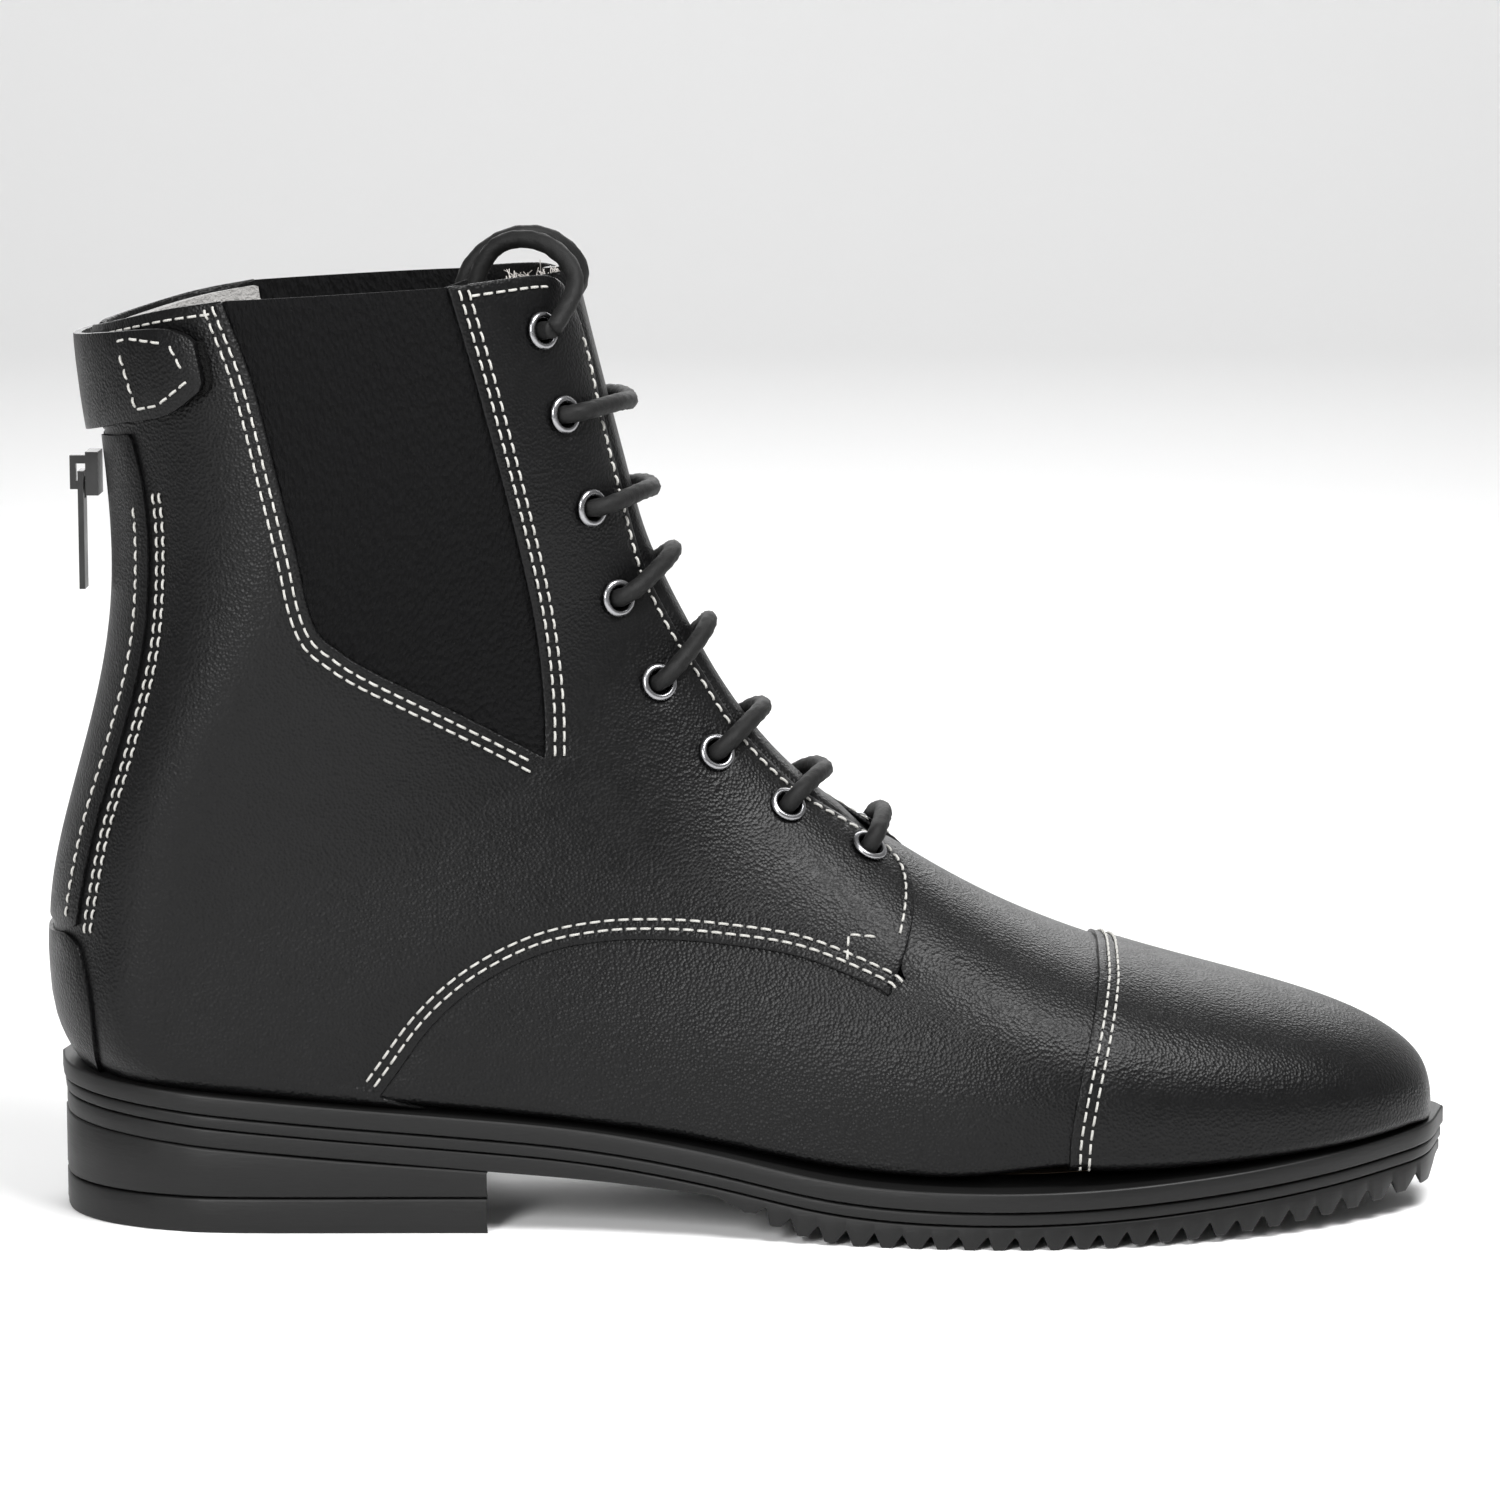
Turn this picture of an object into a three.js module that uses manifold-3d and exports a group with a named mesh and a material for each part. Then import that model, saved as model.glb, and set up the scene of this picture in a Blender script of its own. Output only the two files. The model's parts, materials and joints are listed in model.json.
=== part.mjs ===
// Right lace-up paddock boot, fur lined, with elastic gussets, a rear zip and a hook-and-loop strap.
// Millimetres. +X runs to the toe, +Y to the inner (medial) side, +Z up.
// The origin is the centre of the heel's ground face.
import * as THREE from "three";
import { mergeVertices } from "three/addons/utils/BufferGeometryUtils.js";
import Module from "manifold-3d";

const wasm = await Module();
wasm.setup();

// ---- driving dimensions ----
const GAP = 0.3;               // clearance between pieces that touch
const SOLE_BACK = -33;         // rear end of the sole, measured from the origin
const UPPER = 1.8;             // thickness of the upper leather
const STIFF_IN = 3.3;          // inner face of the stiffeners, below the outer surface
const LINING_OUT = 3.6;        // outer face of the lining
const LINING_IN = 7.0;         // inner face of the fur lining
const TONGUE_DROP = 7.9;       // how far the tongue lies under the facings
const TONGUE_THICK = 1.8;
const WELT_THICK = 4.0;
const MIDSOLE_THICK = 2.5;
const HEEL_SOLE_THICK = 3.7;   // the outsole where it runs on over the heel
const TOP_LIFT = 7.2;
const HEEL_FRONT = 54.5;       // heel breast, at the middle of the sole
const HEEL_SLANT = 2.5;        // the breast runs forward by this much on the outer side
const TOOTH_PITCH = 5.7;
const TOOTH_DEPTH = 3.0;
const LACE_DIA = 3.7;
const LACE_RADIUS = LACE_DIA / 2;
const EYELET_OUTER = 3.85;     // flange radius
const EYELET_BORE = 2.45;
const EYELET_WALL = 0.45;
const STRAP_THICK = 1.8;
const STRAP_LIFT = 2.3;        // inner face of the strap above the quarter
const PATCH_THICK = 0.7;       // hook and loop patches
const ZIP_BOTTOM = 62;
const ZIP_TOP = 182;
const THROAT_HALF = 3.5;       // least half width of the gap between the facings
const GUARD_TOP = 161;         // the zip guards end under the strap
const GUARD_SLOT = 4.9;        // half width of the gap between the guards
const ZIP_SLOT = 3.4;          // half width of the slot in the quarters behind the zip
const REACH = 90;              // more than the boot's half width

// ---- the foot shape: sections from the toe tip (0) to above the collar (1.04) ----
// Each row: place along the foot, front point x and z, back point x and z, half width,
// radius of the lower corner, height of the widest point (share), sideways shift.
const STATIONS = [
  [0.00, 253.6, 21.5, 253.6, 21.5, 0, 1, 0.30, 3.5],
  [0.03, 252.7, 27.2, 252.8, 17.6, 10, 3, 0.30, 3.5],
  [0.07, 248.6, 32.8, 249.0, 16.9, 18.5, 4, 0.30, 3.4],
  [0.13, 237.5, 39.3, 238.5, 15.6, 29, 5, 0.30, 3.0],
  [0.21, 217.0, 46.2, 217.5, 13.6, 38.5, 5, 0.28, 2.0],
  [0.30, 190.0, 53.8, 189.0, 12.4, 44.5, 5, 0.26, 0.8],
  [0.39, 164.5, 63.6, 158.0, 13.0, 44.6, 5, 0.22, 0],
  [0.47, 144.0, 75.0, 126.0, 15.0, 40, 5, 0.16, 0],
  [0.54, 126.5, 87.2, 92.0, 20.4, 35, 6, 0.12, 0],
  [0.60, 113.8, 99.4, 52.0, 24.8, 32.6, 7, 0.12, 0],
  [0.65, 104.5, 112.5, 10.0, 28.4, 32.2, 8, 0.20, 0],
  [0.69, 99.0, 122.5, -20.0, 31.2, 32, 14, 0.27, 0],
  [0.72, 95.6, 129.0, -31.0, 38.0, 32, 23, 0.33, 0],
  [0.75, 92.8, 135.0, -33.6, 50.0, 32.4, 31, 0.38, 0],
  [0.79, 90.0, 142.0, -33.4, 67.0, 33.6, 37, 0.44, 0],
  [0.85, 86.4, 155.0, -26.4, 96.0, 36, 43, 0.48, 0],
  [0.92, 82.0, 172.0, -19.8, 133.0, 37.4, 46, 0.50, 0],
  [1.00, 77.4, 190.5, -24.0, 184.0, 38.5, 48, 0.50, 0],
  [1.04, 75.2, 199.8, -25.9, 208.0, 38.9, 48, 0.50, 0],
];
const SECTION_POWER = 2.3;     // squareness of a section
const NORMAL_RADIUS = 10;      // corner radius used for offset directions

// The bottom of the upper seen from the side, from the toe to the heel.
const FLOOR_LINE = [[256, 17.6], [217, 13.6], [189, 12.4], [158, 13], [126, 15], [92, 20.4],
  [52, 24.8], [10, 28.4], [-20, 31.2], [-34, 34]];
// The top of the welt seen from the side, from the heel to the toe.
const WELT_LINE = [[-36, 32.1], [-3, 29], [27, 26.2], [57, 23.7], [82, 21.2], [107, 17.2],
  [127, 13.6], [152, 12], [177, 12.3], [207, 14.2], [237, 16.8], [262, 19.4]];
// Half widths of the sole, [distance from its rear end, width], outer and inner side.
const SOLE_OUTER = [[0, 0], [2, 10.5], [6, 18.2], [13, 25], [24, 30.5], [40, 33.2], [85, 33.2],
  [110, 34.2], [135, 38.2], [160, 44], [185, 47.8], [205, 48.2], [225, 45.6], [245, 39.6],
  [262, 31], [276, 20.5], [285, 11], [290, -4]];
const SOLE_INNER = [[0, 0], [2, 10.5], [6, 18.2], [13, 25], [24, 30], [40, 32.2], [60, 31.6],
  [80, 28.8], [100, 27], [130, 29.5], [160, 37], [190, 45], [210, 47.5], [230, 46.5],
  [250, 41.5], [268, 33], [281, 21.5], [288, 10], [290, 4]];
// Tips of the sole's cleats seen from the side.
const CLEAT_LINE = [[110, 6.4], [117, 3], [125, 1], [137, 0], [167, 0], [197, 1], [227, 3], [256, 6]];

// ---- outlines of the upper's pieces, seen from the side ----
const COLLAR = [[-40, 181], [-25.5, 183.2], [-8, 188], [6, 190.5], [51, 193.2], [68.8, 194.8]];
const FACING_EDGE = [[71.7, 194.5], [75.3, 189.4], [78.6, 178.3], [81.3, 165.9], [85.1, 150.7],
  [89.3, 135.3], [94.4, 124.3], [101.3, 112.8], [110.4, 101.2], [121.8, 91], [133.7, 83.8],
  [141.4, 77.9], [145.1, 71.5], [143.8, 64], [139.1, 50]];
const QUARTER_ARC = [[136.5, 51.7], [121.1, 57.4], [104.9, 59.8], [92.7, 60.6], [80.6, 60.2],
  [68.4, 57.7], [56.2, 51.6], [46, 43], [38, 34.5], [29.2, 22], [22, 8]];
const GUSSET_REAR = [[4.6, 196], [6, 190.5], [11.9, 174.9], [17.2, 153.6], [20.6, 139],
  [22.4, 129.7], [24.7, 123.7], [28.4, 120.4], [34.3, 116.4]];
const GUSSET_FRONT = [[69.4, 97.2], [69.2, 109], [67.5, 125.4], [63.6, 145], [57, 171.8],
  [51, 193], [50.3, 196]];
const CAP_SEAM = [[183.9, 62], [182.7, 52.3], [180.1, 42.8], [177.6, 32.8], [175.8, 22.4],
  [175, 5]];
const COVER_EDGE = [[-40, 57], [-33.8, 58.7], [-28.8, 60.3], [-26.1, 58.7], [-24.5, 54.3],
  [-23.2, 47.6], [-22.6, 40.5], [-22, 26]];
const ZIP_EDGE = [[-13.8, 165.2], [-10.8, 151.9], [-9.9, 138.2], [-11.3, 119.6], [-16.1, 100.8],
  [-21.8, 82.8], [-25.3, 66.9], [-26.1, 61]];
const STRAP_LOW = [[-40, 160], [-23.8, 162], [-12.4, 165.8], [-3.7, 167.8], [3.5, 173.3]];
const STRAP_HIGH = [[1.7, 183.5], [-4.3, 185.1], [-15.6, 183.8], [-40, 181.5]];
const STRAP_ROOT_FRONT = 4;    // the strap's sewn end on the inner side
const STRAP_HINGE_X = -6;
// Eyelets and where each row's lace crosses the front, both as [x, z].
const EYELETS = [[69, 183.7], [73.3, 166.7], [78.6, 147.5], [83.9, 128.7], [92.2, 111.2],
  [104, 96.7], [118.6, 85.6], [135.3, 76.7]];
const CROSSINGS = [0.965, 0.899, 0.824, 0.755, 0.684, 0.612, 0.548, 0.497];

// ---- splines ----
function naturalSpline(at, values) {
  const n = at.length;
  const h = at.slice(1).map((v, i) => v - at[i]);
  const upper = new Array(n).fill(0);
  const rhs = new Array(n).fill(0);
  for (let i = 1; i < n - 1; i++) {
    const slope = (values[i + 1] - values[i]) / h[i] - (values[i] - values[i - 1]) / h[i - 1];
    const pivot = 2 * (h[i - 1] + h[i]) - h[i - 1] * upper[i - 1];
    upper[i] = h[i] / pivot;
    rhs[i] = (6 * slope - h[i - 1] * rhs[i - 1]) / pivot;
  }
  const bend = new Array(n).fill(0);
  for (let i = n - 2; i > 0; i--) {
    bend[i] = rhs[i] - upper[i] * bend[i + 1];
  }
  return (t) => {
    let i = 0;
    while (i < n - 2 && t > at[i + 1]) i++;
    const a = at[i + 1] - t;
    const b = t - at[i];
    const curve = (bend[i] * a ** 3 + bend[i + 1] * b ** 3) / (6 * h[i]);
    return curve + (values[i] / h[i] - bend[i] * h[i] / 6) * a
      + (values[i + 1] / h[i] - bend[i + 1] * h[i] / 6) * b;
  };
}

const stationPlaces = STATIONS.map((row) => row[0]);
const [frontX, frontZ, backX, backZ, halfWidth, cornerRadius, widest, shift] =
  [1, 2, 3, 4, 5, 6, 7, 8].map((k) => naturalSpline(stationPlaces, STATIONS.map((row) => row[k])));

// A point of the outer surface. The angle runs from the back or underside (0) to the front or
// top (PI) down the outer side, and on to 2 PI over the inner side.
function surfacePoint(s, angle, minRadius = 0) {
  const side = angle <= Math.PI ? -1 : 1;
  const share = (1 - Math.cos(angle)) / 2;
  const fx = frontX(s);
  const fz = frontZ(s);
  const bx = backX(s);
  const bz = backZ(s);
  const length = Math.hypot(fx - bx, fz - bz);
  const radius = Math.max(cornerRadius(s), minRadius, 0.5);
  const low = THREE.MathUtils.clamp(1 - share * length / radius, 0, 1);
  const high = THREE.MathUtils.clamp((share - widest(s)) / (1 - widest(s)), 0, 1);
  const width = Math.sqrt(1 - low ** SECTION_POWER) * Math.sqrt(1 - high ** SECTION_POWER);
  return new THREE.Vector3(
    bx + (fx - bx) * share, shift(s) + side * halfWidth(s) * width, bz + (fz - bz) * share);
}

function surfaceNormal(s, angle) {
  if (s < 0.002) return new THREE.Vector3(1, 0, 0);
  const step = 0.004;
  const turn = 0.05;
  const at = (ds, da) => {
    let a = angle + da;
    if (a < 0) a += 2 * Math.PI;
    if (a > 2 * Math.PI) a -= 2 * Math.PI;
    return surfacePoint(Math.min(Math.max(s + ds, 0.001), 1.04), a, NORMAL_RADIUS);
  };
  const along = at(step, 0).sub(at(-step, 0));
  const round = at(0, turn).sub(at(0, -turn));
  return round.cross(along).normalize();
}

// Place along the foot and angle of a point given in the side view.
function locate(x, z, side) {
  let low = 0.001;
  let high = 1.04;
  for (let i = 0; i < 40; i++) {
    const s = (low + high) / 2;
    const c = (frontX(s) - backX(s)) * (z - backZ(s)) - (frontZ(s) - backZ(s)) * (x - backX(s));
    if (c > 0) low = s;
    else high = s;
  }
  const s = (low + high) / 2;
  const ax = frontX(s) - backX(s);
  const az = frontZ(s) - backZ(s);
  const share = ((x - backX(s)) * ax + (z - backZ(s)) * az) / (ax * ax + az * az);
  const angle = Math.acos(THREE.MathUtils.clamp(1 - 2 * share, -1, 1));
  return { s, angle: side < 0 ? angle : 2 * Math.PI - angle };
}

function raised(s, angle, height) {
  return surfacePoint(s, angle).addScaledVector(surfaceNormal(s, angle), height);
}

// ---- solids ----
function toSolid(geometry) {
  const plain = geometry.clone();
  plain.deleteAttribute("normal");
  plain.deleteAttribute("uv");
  const merged = mergeVertices(plain, 1e-4);
  const index = merged.index.array;
  const kept = [];
  for (let i = 0; i < index.length; i += 3) {
    const [a, b, c] = [index[i], index[i + 1], index[i + 2]];
    if (a !== b && b !== c && a !== c) kept.push(a, b, c);
  }
  return new wasm.Manifold(new wasm.Mesh({
    numProp: 3,
    vertProperties: new Float32Array(merged.attributes.position.array),
    triVerts: new Uint32Array(kept),
  }));
}

function toGeometry(solid) {
  const mesh = solid.getMesh();
  const geometry = new THREE.BufferGeometry();
  geometry.setAttribute("position", new THREE.BufferAttribute(mesh.vertProperties, 3));
  geometry.setIndex(new THREE.BufferAttribute(mesh.triVerts, 1));
  geometry.computeVertexNormals();
  return geometry;
}

// Everything inside the outer surface, moved outwards by offset (a number or a function of the
// point). The solid ends above the collar, where the outlines cut it.
function footSolid(offset, places, around) {
  const offsetAt = typeof offset === "function" ? offset : () => offset;
  const positions = [];
  const index = [];
  const rings = places.length;
  for (const s of places) {
    for (let j = 0; j < around; j++) {
      const angle = 2 * Math.PI * j / around;
      const p = surfacePoint(s, angle);
      p.addScaledVector(surfaceNormal(s, angle), offsetAt(p));
      positions.push(p.x, p.y, p.z);
    }
  }
  for (let i = 0; i < rings - 1; i++) {
    for (let j = 0; j < around; j++) {
      const next = (j + 1) % around;
      const a = i * around + j;
      const b = i * around + next;
      const c = (i + 1) * around + j;
      const d = (i + 1) * around + next;
      index.push(a, b, c, b, d, c);
    }
  }
  const last = (rings - 1) * around;
  for (let j = 1; j < around - 1; j++) {
    index.push(0, j + 1, j);
    index.push(last, last + j, last + j + 1);
  }
  const geometry = new THREE.BufferGeometry();
  geometry.setAttribute("position", new THREE.Float32BufferAttribute(positions, 3));
  geometry.setIndex(index);
  return toSolid(geometry);
}

// A closed outline from corners and smooth stretches. Each stretch is a list of points.
function outline(...stretches) {
  const shape = new THREE.Shape();
  stretches.forEach((points, i) => {
    const first = points[0];
    if (i === 0) shape.moveTo(first[0], first[1]);
    else shape.lineTo(first[0], first[1]);
    const rest = points.slice(1).map((p) => new THREE.Vector2(p[0], p[1]));
    if (rest.length > 0) shape.splineThru(rest);
  });
  return shape;
}

// Straight corners of an outline, one after the other.
function corners(points) {
  return points.map((point) => [point]);
}

// A side-view outline swept across the boot from y = from to y = to, and grown outwards.
function sideSolid(shape, from = -REACH, to = REACH, grow = 0) {
  const geometry = new THREE.ExtrudeGeometry(grown(shape, grow), {
    depth: to - from, bevelEnabled: false, curveSegments: 1 });
  geometry.rotateX(Math.PI / 2);
  geometry.translate(0, to, 0);
  return toSolid(geometry);
}

// An outline seen from above, between two heights.
function planSolid(shape, from, to) {
  const geometry = new THREE.ExtrudeGeometry(shape, {
    depth: to - from, bevelEnabled: false, curveSegments: 1 });
  geometry.translate(0, 0, from);
  return toSolid(geometry);
}

function grown(shape, distance) {
  const points = shape.extractPoints(1).shape;
  if (points[0].distanceTo(points[points.length - 1]) < 1e-6) points.pop();
  if (distance === 0) return new THREE.Shape(points);
  const turn = THREE.ShapeUtils.isClockWise(points) ? -1 : 1;
  const n = points.length;
  const moved = points.map((p, i) => {
    const before = p.clone().sub(points[(i + n - 1) % n]).normalize();
    const after = points[(i + 1) % n].clone().sub(p).normalize();
    const mean = before.add(after).normalize();
    return new THREE.Vector2(p.x + turn * mean.y * distance, p.y - turn * mean.x * distance);
  });
  return new THREE.Shape(moved);
}

function box(minimum, maximum) {
  const size = maximum.map((v, i) => v - minimum[i]);
  const geometry = new THREE.BoxGeometry(...size);
  geometry.translate(...maximum.map((v, i) => (v + minimum[i]) / 2));
  return toSolid(geometry);
}

const LATERAL = box([-100, -REACH, -50], [400, -GAP / 2, 300]);
const MEDIAL = box([-100, GAP / 2, -50], [400, REACH, 300]);

// ---- the group ----
const group = new THREE.Group();
const COLOURS = {
  leather: ["#17171a", 0.45, 0], lining: ["#8f8b86", 0.95, 0], fur: ["#b9b3ab", 1, 0],
  elastic: ["#121214", 0.9, 0], rubber: ["#151516", 0.7, 0], board: ["#6a5a45", 0.9, 0],
  steel: ["#55555a", 0.35, 1], fabric: ["#101012", 0.85, 0], cork: ["#8a6a45", 0.95, 0],
};

function add(name, shape, look) {
  const geometry = shape.isBufferGeometry ? shape : toGeometry(shape);
  const [color, roughness, metalness] = COLOURS[look];
  const material = new THREE.MeshStandardMaterial({ color, roughness, metalness });
  const mesh = new THREE.Mesh(geometry, material);
  mesh.name = name;
  group.add(mesh);
  return mesh;
}

// ---- layers of the upper ----
const PLACES = [0, 0.015, 0.05, 0.10, 0.17, 0.26, 0.35, 0.43, 0.51, 0.585, 0.63,
  0.665, 0.69, 0.715, 0.75, 0.80, 0.86, 0.92, 0.98, 1.04];
const AROUND = 20;
const DEEP = 4;                // layers deeper than this stop short of the toe's tip
const deepPlaces = PLACES.filter((s) => s > 0.09);
const layer = (offset) => footSolid(offset, offset < -DEEP ? deepPlaces : PLACES, AROUND);

const aboveWelt = sideSolid(outline(WELT_LINE.map(([x, z]) => [x, z + GAP]),
  ...corners([[400, 30], [400, 300], [-100, 300], [-100, 32]])));
const PLUG_INSET = 20;         // the upper turns in under the foot as far as this
const solePlug = planSolid(soleOutline(PLUG_INSET), -5, 60)
  .intersect(sideSolid(outline(lifted(2.6), ...corners([[-60, -20], [300, -20]]))));
const leather = layer(0).subtract(layer(-UPPER)).intersect(aboveWelt).subtract(solePlug);

// The floor line raised by a height, from the toe to the heel.
function lifted(height) {
  return FLOOR_LINE.map(([x, z]) => [x, z + height]);
}

// The sole seen from above, drawn in by an inset.
function soleOutline(inset) {
  const scaleX = (290 - 2 * inset) / 290;
  const place = ([u, w], side) => {
    const x = SOLE_BACK + inset + u * scaleX;
    return [x, side * w * Math.max(1 - inset / 40, 0.2)];
  };
  const inner = SOLE_INNER.map((p) => place(p, 1));
  const outer = SOLE_OUTER.map((p) => place(p, -1)).reverse().slice(1, -1);
  return outline(inner, outer);
}

// ---- leather pieces ----
const quarterShape = outline(...corners([[-60, 8], [-60, 181]]), COLLAR, FACING_EDGE, QUARTER_ARC);
const gussetShape = outline(GUSSET_REAR, GUSSET_FRONT);
const capShape = outline(CAP_SEAM, ...corners([[300, 5], [300, 62]]));
const zipSlot = box([-60, -ZIP_SLOT, ZIP_BOTTOM], [0, ZIP_SLOT, 220]);
const throatSlot = box([60, -THROAT_HALF, 60], [160, THROAT_HALF, 220]);
const capCut = sideSolid(capShape, -REACH, REACH, GAP);
const quarterArea = sideSolid(quarterShape);
const gussetArea = sideSolid(gussetShape);
const gussetCut = sideSolid(gussetShape, -REACH, REACH, GAP);

// Straight holes through the facings, one along each eyelet's axis.
const eyelets = [-1, 1].map((side) => EYELETS.map(([x, z]) => {
  const { s, angle } = locate(x, z, side);
  return { s, angle, point: surfacePoint(s, angle), normal: surfaceNormal(s, angle) };
}));

function turnedTo(geometry, eyelet) {
  const turn = new THREE.Quaternion().setFromUnitVectors(new THREE.Vector3(0, 1, 0), eyelet.normal);
  return geometry.applyQuaternion(turn).translate(...eyelet.point.toArray());
}

function eyeletHole(eyelet) {
  const radius = EYELET_BORE + EYELET_WALL + GAP;
  return toSolid(turnedTo(new THREE.CylinderGeometry(radius, radius, 12, 8), eyelet));
}

let quarters = leather.intersect(quarterArea).subtract(gussetCut).subtract(zipSlot)
  .subtract(throatSlot);
eyelets.flat().forEach((eyelet) => {
  quarters = quarters.subtract(eyeletHole(eyelet));
});
add("quarter_lateral", quarters.intersect(LATERAL), "leather");
add("quarter_medial", quarters.intersect(MEDIAL), "leather");
const vampArea = sideSolid(quarterShape, -REACH, REACH, GAP);
add("vamp", leather.subtract(vampArea).subtract(capCut)
  .intersect(box([20, -REACH, 0], [300, REACH, 90])), "leather");
add("toe_cap", leather.intersect(sideSolid(capShape)), "leather");

// ---- gussets: thinner than the leather, between its faces ----
const web = layer(-0.3).subtract(layer(-1.5)).intersect(gussetArea)
  .intersect(sideSolid(quarterShape));
add("elastic_gusset_lateral", web.intersect(LATERAL), "elastic");
add("elastic_gusset_medial", web.intersect(MEDIAL), "elastic");

// ---- stiffeners and linings ----
const stiff = layer(-UPPER - GAP).subtract(layer(-STIFF_IN + 0.5)).intersect(aboveWelt)
  .subtract(solePlug);
const heelArea = sideSolid(outline(...corners([[-60, 20], [-60, 57], [-30, 57], [-8, 52], [6, 34],
  [6, 20]])));
add("heel_counter", stiff.intersect(heelArea), "board");
const puffArea = sideSolid(outline(...corners([[206, 5], [206, 60], [300, 60], [300, 5]])));
add("toe_puff", stiff.intersect(puffArea), "board");
const INSOLE_INSET = 15;       // the insole stands this far inside the sole's edge
const FOOTBED_TOP = 14;        // above the floor line
const insoleWell = planSolid(soleOutline(INSOLE_INSET - 2 * GAP), 0, 80)
  .intersect(sideSolid(outline(lifted(FOOTBED_TOP + GAP), ...corners([[-60, -20], [300, -20]]))));
const LINING_FOOT = 8;         // the lining's lower edge above the floor line
const aboveFloor = sideSolid(outline(lifted(LINING_FOOT), ...corners([[-100, 300], [400, 300]])));
const LINING_TIP_X = 238;      // the lining ends short of the toe's tip
const behindTip = box([-100, -REACH, 0], [LINING_TIP_X, REACH, 300]);
const fleece = layer(-LINING_OUT - 0.3).subtract(layer(-LINING_IN)).subtract(insoleWell)
  .intersect(aboveFloor).intersect(behindTip);
const liningTop = [[-60, 10], [-60, 180], [-25, 182], [2, 187], [8, 175]];
const liningFront = [[17.6, 139], [20, 127], [24, 119], [36, 110], [69, 92], [100, 82], [114, 66]];
const liningShape = outline(...corners(liningTop), liningFront, [[116, 10]]);
const linings = fleece.intersect(sideSolid(liningShape)).subtract(box([-60, -0.9, 62], [0, 0.9, 220]));
add("quarter_lining_lateral", linings.intersect(LATERAL), "lining");
add("quarter_lining_medial", linings.intersect(MEDIAL), "lining");
const vampLiningShape = outline(...corners([[117, 5], [117, 66], [153, 66], [153, 90], [300, 90],
  [300, 5]]));
add("vamp_lining", fleece.intersect(sideSolid(vampLiningShape)), "lining");

// ---- tongue: level with the front between the facings, lower where they cover it ----
function tongueOffset(point) {
  const t = THREE.MathUtils.smoothstep(Math.abs(point.y), 1, 6);
  const underVamp = THREE.MathUtils.smoothstep(point.x, 78, 94);
  return -0.6 - (TONGUE_DROP - 0.6) * Math.max(t, underVamp);
}
const tongueLayer = (depth) => footSolid((p) => tongueOffset(p) - depth, PLACES, AROUND + 4);
const tongueRear = [[60, 190], [55, 176], [58, 160], [66, 130], [82, 104], [102, 84], [118, 76]];
const tongueTop = [[82, 198], [72, 199], [66, 197.5], [60, 190]];
const tongueShape = outline(tongueRear, ...corners([[150, 56], [150, 100], [100, 160], [90, 197.5]]),
  tongueTop);
const tongueArea = sideSolid(tongueShape);
const tongueBody = tongueLayer(TONGUE_THICK);
add("tongue", tongueLayer(0).subtract(tongueBody).intersect(tongueArea), "leather");
const TONGUE_FUR = 3.4;        // depth of the fur's inner face below the tongue's leather
const tongueFur = tongueLayer(TONGUE_THICK + GAP).subtract(tongueLayer(TONGUE_THICK + TONGUE_FUR));
add("tongue_lining", tongueFur.intersect(tongueArea), "fur");

// ---- the back: counter cover, zip guards, tapes and teeth ----
const overlay = layer(UPPER - GAP / 2).subtract(layer(GAP)).intersect(aboveWelt);
const coverShape = outline(COVER_EDGE, ...corners([[-60, 26], [-60, 57]]));
add("counter_cover", overlay.intersect(sideSolid(coverShape)), "leather");
const guardShape = outline(ZIP_EDGE, ...corners([[-60, 61], [-60, 165.2]]));
const guardRun = box([-60, -REACH, ZIP_BOTTOM], [0, REACH, GUARD_TOP]);
const guardSlot = box([-60, -GUARD_SLOT, 0], [0, GUARD_SLOT, 220]);
const guards = overlay.intersect(sideSolid(guardShape)).intersect(guardRun).subtract(guardSlot);
add("zip_guard_lateral", guards.intersect(LATERAL), "leather");
add("zip_guard_medial", guards.intersect(MEDIAL), "leather");
const TAPE_REACH = 9;          // a tape's width on its side
const TEETH_REACH = 2.4;       // a row of teeth's width on its side
const zipRun = (reach) => box([-60, -reach, ZIP_BOTTOM + 1], [0, reach, ZIP_TOP]);
const tapes = layer(-UPPER - GAP).subtract(layer(-UPPER - 1.1)).intersect(zipRun(TAPE_REACH));
add("zip_tape_lateral", tapes.intersect(LATERAL), "fabric");
add("zip_tape_medial", tapes.intersect(MEDIAL), "fabric");
const teeth = layer(-0.3).subtract(layer(-1.5)).intersect(zipRun(TEETH_REACH));
add("zip_teeth_lateral", teeth.intersect(LATERAL), "fabric");
add("zip_teeth_medial", teeth.intersect(MEDIAL), "fabric");

// ---- zip slider and pull: the slider runs on an arc round a far centre behind the boot ----
const SLIDER_Z = 153;
const SLIDER_FACE = -22.9;     // front face of the slider, just behind the teeth
const SLIDER_HALF = 4.5;       // half the slider's height
const sliderBody = box([SLIDER_FACE - 2.6, -4.2, SLIDER_Z - SLIDER_HALF],
  [SLIDER_FACE, 4.2, SLIDER_Z + SLIDER_HALF]);
const bridge = box([SLIDER_FACE - 6.2, -1, SLIDER_Z - 3.5], [SLIDER_FACE - 2.5, 1, SLIDER_Z + 3.5]);
const bridgeHole = box([SLIDER_FACE - 5, -2, SLIDER_Z - 1.8], [SLIDER_FACE - 2.6, 2, SLIDER_Z + 1.8]);
add("zip_slider", sliderBody.add(bridge.subtract(bridgeHole)), "steel");
const PULL_X = SLIDER_FACE - 3.8;
const PULL_LENGTH = 24;        // below the slider's middle
const tab = box([PULL_X - 0.6, -2.8, SLIDER_Z - PULL_LENGTH], [PULL_X + 0.6, 2.8, SLIDER_Z + 0.4]);
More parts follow.
